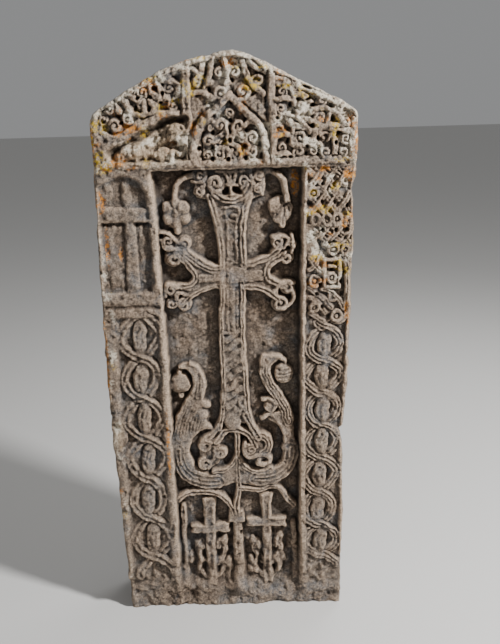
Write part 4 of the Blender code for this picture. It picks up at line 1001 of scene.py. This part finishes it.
rust = np.zeros(X.shape)
for x, z, wide, high in (
    (-32, 152.5, 2.6, 2.4), (-35, 150.5, 3.0, 1.6), (-28, 162, 4.0, 1.6), (-31, 160.3, 2.6, 1.0),
    (-22, 173.5, 3.5, 2.0), (-39.8, 158, 0.9, 12), (-37.4, 126, 0.8, 7), (-38.6, 140, 1.8, 4),
    (-33.4, 124, 0.8, 3), (-17, 168.2, 2.0, 1.0), (1.5, 180, 3.0, 1.8), (29.5, 163, 1.6, 1.2),
    (37.8, 162.6, 1.6, 2.6), (39.3, 156, 0.8, 8), (37.4, 146.6, 2.2, 2.6), (30, 148.2, 1.8, 1.4),
    (-9, 160.8, 1.2, 3), (21, 144, 1.4, 5), (-21.8, 60, 0.6, 14), (35.8, 132, 1.0, 3),
    (31, 128, 1.4, 1.0), (36.4, 104, 0.8, 5), (-40, 90, 0.8, 16), (-12, 181, 3, 1),
):
    rust = np.maximum(rust, patch(x, z, wide, high))
gold = np.zeros(X.shape)
for x, z, wide, high in (
    (-20.6, 176.2, 1.4, 1.2), (-6.5, 174.8, 2.4, 2.2), (-11.9, 174.2, 0.7, 1.4), (8.6, 173.6, 3.2, 2.6),
    (3.8, 178.6, 1.6, 0.8), (24, 170, 3.6, 1.0), (18, 172.8, 2.6, 0.8), (26.3, 141, 1.5, 1.5),
    (36.4, 134.5, 1.4, 1.0), (33.6, 124.6, 3.0, 1.4), (27, 121, 2.4, 1.4), (35, 151, 2.4, 0.8),
    (17, 158.6, 1.0, 0.7), (27.2, 161.2, 0.9, 0.7), (-39.6, 158.4, 0.8, 2.0), (30, 136, 3, 1.4),
    (34, 119, 2, 1.4), (12, 178.6, 2.4, 1.0), (-7, 181.2, 2.4, 0.8),
):
    gold = np.maximum(gold, patch(x, z, wide, high))
sown = ease((Z - 146) / 8) + ease((X - 22) / 3) * ease((Z - 100) / 20) + 0.5 * ease((-33 - X) / 5)
off_scar = np.clip(sown - 0.6 * in_scar, 0, 1)
rust = np.maximum(rust, 0.75 * off_scar * ease(1.6 * roughness(X, 0, Z, 4.5, 73) - 0.35))
gold = np.maximum(gold, 0.7 * np.clip(sown, 0, 1) * ease(1.6 * roughness(X, 0, Z, 3.8, 74) - 0.4))
for x, z, wide, high in (
    (-39.6, 128, 0.9, 2.2), (-38.8, 117, 1.2, 2.0), (-38, 91, 1.6, 3.0), (-38, 67, 1.6, 3.4),
    (25, 126.5, 1.4, 1.6),
):
    crust = np.maximum(crust, 0.8 * patch(x, z, wide, high))
crust = np.maximum(crust, 0.85 * np.clip(sown, 0, 1) * ease(1.5 * roughness(X, 0, Z, 3.2, 75) + 0.1))
bare = np.clip(blur(in_scar, 4) * (0.8 + 0.4 * roughness(X, 0, Z, 2.5, 72)), 0, 1)
bare = np.maximum(bare, 0.7 * patch(-37.6, 66, 1.8, 4.6))

# The same on the sides, the top and the back, where nothing is carved.
ring_relief = np.array(ring_relief)
side_dips = blur(ring_relief, 4) - ring_relief
back_dips = blur(back_y, 3) - back_y
cupped = np.concatenate([side_dips.ravel(), back_dips.ravel()])
bx, by, bz = corners[len(front):].T / CM
high_up = ease((bz - 155) / 26)


def sown_beyond(size, seed, rarity, most):
    """Ragged patches of about a given size over the sides and the back."""
    return most * ease(layered(bx, by, bz, (1.6, size, seed), (0.8, size / 3.5, seed + 10)) - rarity)


# As on the front, hollow paints dirt and painted shade into the dips of the sides and back, and crest
# paints rubbed stone with a painted highlight onto their bumps.
layers = {
    "hollow": (hollow, np.clip(cupped / 0.5 + 0.12, 0, 1)),
    "crest": (crest, np.clip(0.25 - cupped / 0.7, 0, 1)),
    "crust": (crust, 0.5 * high_up * (1 + roughness(bx, by, bz, 5, 81)) + sown_beyond(12, 82, 0.55, 0.5)),
    "rust": (rust, sown_beyond(14, 83, 0.6, 0.55)),
    "gold": (gold, sown_beyond(11, 84, 0.75, 0.5)),
    "bare": (bare, 0.5 * ease(2.0 * roughness(bx, by, bz, 18, 85) - 0.3)),
}

carved = bpy.data.meshes.new("carved_stone")
carved.vertices.add(len(corners))
carved.vertices.foreach_set("co", corners.astype(np.float32).ravel())
carved.loops.add(3 * len(triangles))
carved.loops.foreach_set("vertex_index", triangles.astype(np.int32).ravel())
carved.polygons.add(len(triangles))
carved.polygons.foreach_set("loop_start", np.arange(0, 3 * len(triangles), 3, dtype=np.int32))
carved.update(calc_edges=True)
for name, (on_front, elsewhere) in layers.items():
    layer = carved.attributes.new(name, "FLOAT", "POINT")
    layer.data.foreach_set("value", np.concatenate([on_front.ravel(), elsewhere]).astype(np.float32))
stone = bpy.data.objects.new("stone_relief", carved)
bpy.context.scene.collection.objects.link(stone)

MOST_TRIANGLES = 197000
thin = stone.modifiers.new("thin_out", "DECIMATE")
thin.ratio = MOST_TRIANGLES / len(triangles)
evaluated = stone.evaluated_get(bpy.context.evaluated_depsgraph_get())
thinned = bpy.data.meshes.new_from_object(evaluated)
stone.modifiers.clear()
stone.data = thinned
thinned.name = "stone_relief"
bpy.data.meshes.remove(carved)
places = np.empty(3 * len(thinned.vertices))
thinned.vertices.foreach_get("co", places)
places = np.clip(places.reshape(-1, 3), cad_box[0], cad_box[1])
thinned.vertices.foreach_set("co", places.ravel())
thinned.update()
thinned.shade_smooth()

# The stone's own finish: a grey brown volcanic stone, mottled and pitted, paler with rubbing and a painted
# highlight on its crests, dark with dirt and painted shade in its hollows, under crusts of pale, orange and
# yellow lichen.
BROWN_STONE = (0.160, 0.117, 0.086)
GREY_STONE = (0.222, 0.186, 0.154)
WARM_STONE = (0.39, 0.28, 0.194)
BLUE_STONE = (0.168, 0.177, 0.187)
RUBBED_HIGHLIGHT_STONE = (0.73, 0.545, 0.39)
SPLIT_STONE = (0.68, 0.52, 0.35)
DIRT_AND_SHADE = (0.030, 0.022, 0.017)
PALE_LICHEN = (0.86, 0.77, 0.62)
ORANGE_LICHEN = (0.74, 0.29, 0.04)
YELLOW_LICHEN = (0.76, 0.50, 0.03)


def stone_finish():
    """The stone's material, which reads from the layers kept on the mesh what has settled on it and where
    shade and highlights are painted.
    """
    finish = bpy.data.materials.new("weathered_stone")
    finish.use_nodes = True
    tree = finish.node_tree
    shader = tree.nodes["Principled BSDF"]
    place = tree.nodes.new("ShaderNodeTexCoord").outputs["Object"]

    def layer(name):
        node = tree.nodes.new("ShaderNodeAttribute")
        node.attribute_name = name
        return node.outputs["Fac"]

    def mottle(scale, detail=6.0, rough=0.6, warp=0.0):
        node = tree.nodes.new("ShaderNodeTexNoise")
        node.inputs["Scale"].default_value = scale
        node.inputs["Detail"].default_value = detail
        node.inputs["Roughness"].default_value = rough
        node.inputs["Distortion"].default_value = warp
        tree.links.new(place, node.inputs["Vector"])
        return node.outputs["Fac"]

    def ramp(value, low, high, to_low=0.0, to_high=1.0):
        node = tree.nodes.new("ShaderNodeMapRange")
        node.inputs["From Min"].default_value = low
        node.inputs["From Max"].default_value = high
        node.inputs["To Min"].default_value = to_low
        node.inputs["To Max"].default_value = to_high
        tree.links.new(value, node.inputs["Value"])
        return node.outputs["Result"]

    def combine(kind, a, b):
        node = tree.nodes.new("ShaderNodeMath")
        node.operation = kind
        for socket, value in zip(node.inputs, (a, b)):
            if isinstance(value, (int, float)):
                socket.default_value = value
            else:
                tree.links.new(value, socket)
        return node.outputs[0]

    def blend(under, over, amount, kind="MIX"):
        node = tree.nodes.new("ShaderNodeMix")
        node.data_type = "RGBA"
        node.blend_type = kind
        for which, value in (("Factor", amount), (6, under), (7, over)):
            socket = node.inputs[which]
            if isinstance(value, tuple):
                socket.default_value = (*value, 1)
            elif isinstance(value, float):
                socket.default_value = value
            else:
                tree.links.new(value, socket)
        return node.outputs[2]

    colour = blend(BROWN_STONE, GREY_STONE, ramp(mottle(7, 5), 0.38, 0.62))
    colour = blend(colour, WARM_STONE, ramp(mottle(16, 6, 0.65), 0.5, 0.72, 0, 0.65))
    colour = blend(colour, BLUE_STONE, ramp(mottle(11, 5, 0.6, 0.6), 0.5, 0.64, 0, 0.75))
    # Raised stone is painted paler: rubbed wear and a painted highlight.
    colour = blend(colour, RUBBED_HIGHLIGHT_STONE, ramp(layer("crest"), 0.0, 0.9, 0, 0.85))
    colour = blend(colour, SPLIT_STONE, combine("MULTIPLY", layer("bare"), 0.85))
    grain = ramp(mottle(420, 3, 0.7), 0.3, 0.7, 0.5, 1.4)
    speck = ramp(mottle(170, 5, 0.75), 0.35, 0.65, 0.5, 1.4)
    both = tree.nodes.new("ShaderNodeCombineColor")
    for socket in both.inputs[:3]:
        tree.links.new(combine("MULTIPLY", grain, speck), socket)
    colour = blend(colour, both.outputs[0], 1.0, "MULTIPLY")
    # Hollows are painted dark: dirt and painted shade, with some random dirt.
    dirt_and_shade = combine("ADD", layer("hollow"), ramp(mottle(60, 5, 0.7), 0.45, 0.75, -0.1, 0.3))
    colour = blend(colour, DIRT_AND_SHADE, ramp(dirt_and_shade, 0.1, 1.0, 0, 0.78))
    pale = combine("MULTIPLY", layer("crust"), ramp(mottle(85, 6, 0.75), 0.40, 0.56))
    colour = blend(colour, PALE_LICHEN, ramp(pale, 0.15, 0.6, 0, 0.95))
    spots = ramp(mottle(75, 8, 0.85), 0.49, 0.55)
    orange = combine("MULTIPLY", ramp(layer("rust"), 0.1, 0.8), spots)
    colour = blend(colour, ORANGE_LICHEN, ramp(orange, 0.12, 0.5, 0, 0.95))
    yellow = combine("MULTIPLY", ramp(layer("gold"), 0.1, 0.8), ramp(mottle(95, 8, 0.85), 0.50, 0.55))
    colour = blend(colour, YELLOW_LICHEN, ramp(yellow, 0.12, 0.5, 0, 0.95))
    tree.links.new(colour, shader.inputs["Base Color"])
    tree.links.new(ramp(mottle(90, 4), 0.3, 0.7, 0.78, 0.98), shader.inputs["Roughness"])
    shader.inputs["Specular IOR Level"].default_value = 0.25

    grit = tree.nodes.new("ShaderNodeBump")
    grit.inputs["Strength"].default_value = 1.0
    grit.inputs["Distance"].default_value = 0.009
    tree.links.new(combine("ADD", mottle(80, 9, 0.75), mottle(260, 5, 0.75)), grit.inputs["Height"])
    tree.links.new(grit.outputs["Normal"], shader.inputs["Normal"])
    return finish


thinned.materials.clear()
thinned.materials.append(stone_finish())
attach(stone, "root")
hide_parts("khachkar_stone")

# The studio: a plain pale floor, a strong lamp high on the right in place of the sun, a weak wide one on
# the left, one from behind and an even sky.
bpy.ops.mesh.primitive_plane_add(size=60)
floor = bpy.context.object
floor.name = "studio_floor"
matte = bpy.data.materials.new("pale_floor")
matte.use_nodes = True
matte.node_tree.nodes["Principled BSDF"].inputs["Base Color"].default_value = (0.62, 0.61, 0.59, 1)
matte.node_tree.nodes["Principled BSDF"].inputs["Roughness"].default_value = 0.9
floor.data.materials.append(matte)

for name, place, size, power in (
    ("key", (3.1, -2.1, 3.5), 0.55, 440),
    ("fill", (-3.4, -3.2, 1.8), 3.0, 10),
    ("rim", (1.6, 2.4, 3.4), 2.0, 45),
):
    lamp = bpy.data.lights.new(name, "AREA")
    lamp.shape, lamp.size, lamp.energy = "DISK", size, power
    holder = bpy.data.objects.new(name, lamp)
    holder.location = place
    holder.rotation_euler = (Vector((0, 0, 1.0)) - Vector(place)).to_track_quat("-Z", "Y").to_euler()
    bpy.context.scene.collection.objects.link(holder)
sky = bpy.data.worlds.new("soft_sky")
sky.use_nodes = True
sky.node_tree.nodes["Background"].inputs["Color"].default_value = (0.96, 0.97, 0.98, 1)
sky.node_tree.nodes["Background"].inputs["Strength"].default_value = 0.28
bpy.context.scene.world = sky

# The camera stands a little to the right, higher than the middle of the stone, and looks down at it.
LOOK_DOWN = 15.0
TILT = -1.7
SENSOR_WIDTH = 36
LENS = 50.31
camera = bpy.data.objects.new("camera", bpy.data.cameras.new("camera"))
camera.data.sensor_width = SENSOR_WIDTH
camera.data.lens = LENS
camera.location = (0.0698, -2.8356, 1.7451)
turn = Matrix.Rotation(math.radians(90 - LOOK_DOWN), 3, "X") @ Matrix.Rotation(math.radians(TILT), 3, "Z")
camera.rotation_euler = turn.to_euler()
bpy.context.scene.collection.objects.link(camera)
bpy.context.scene.camera = camera
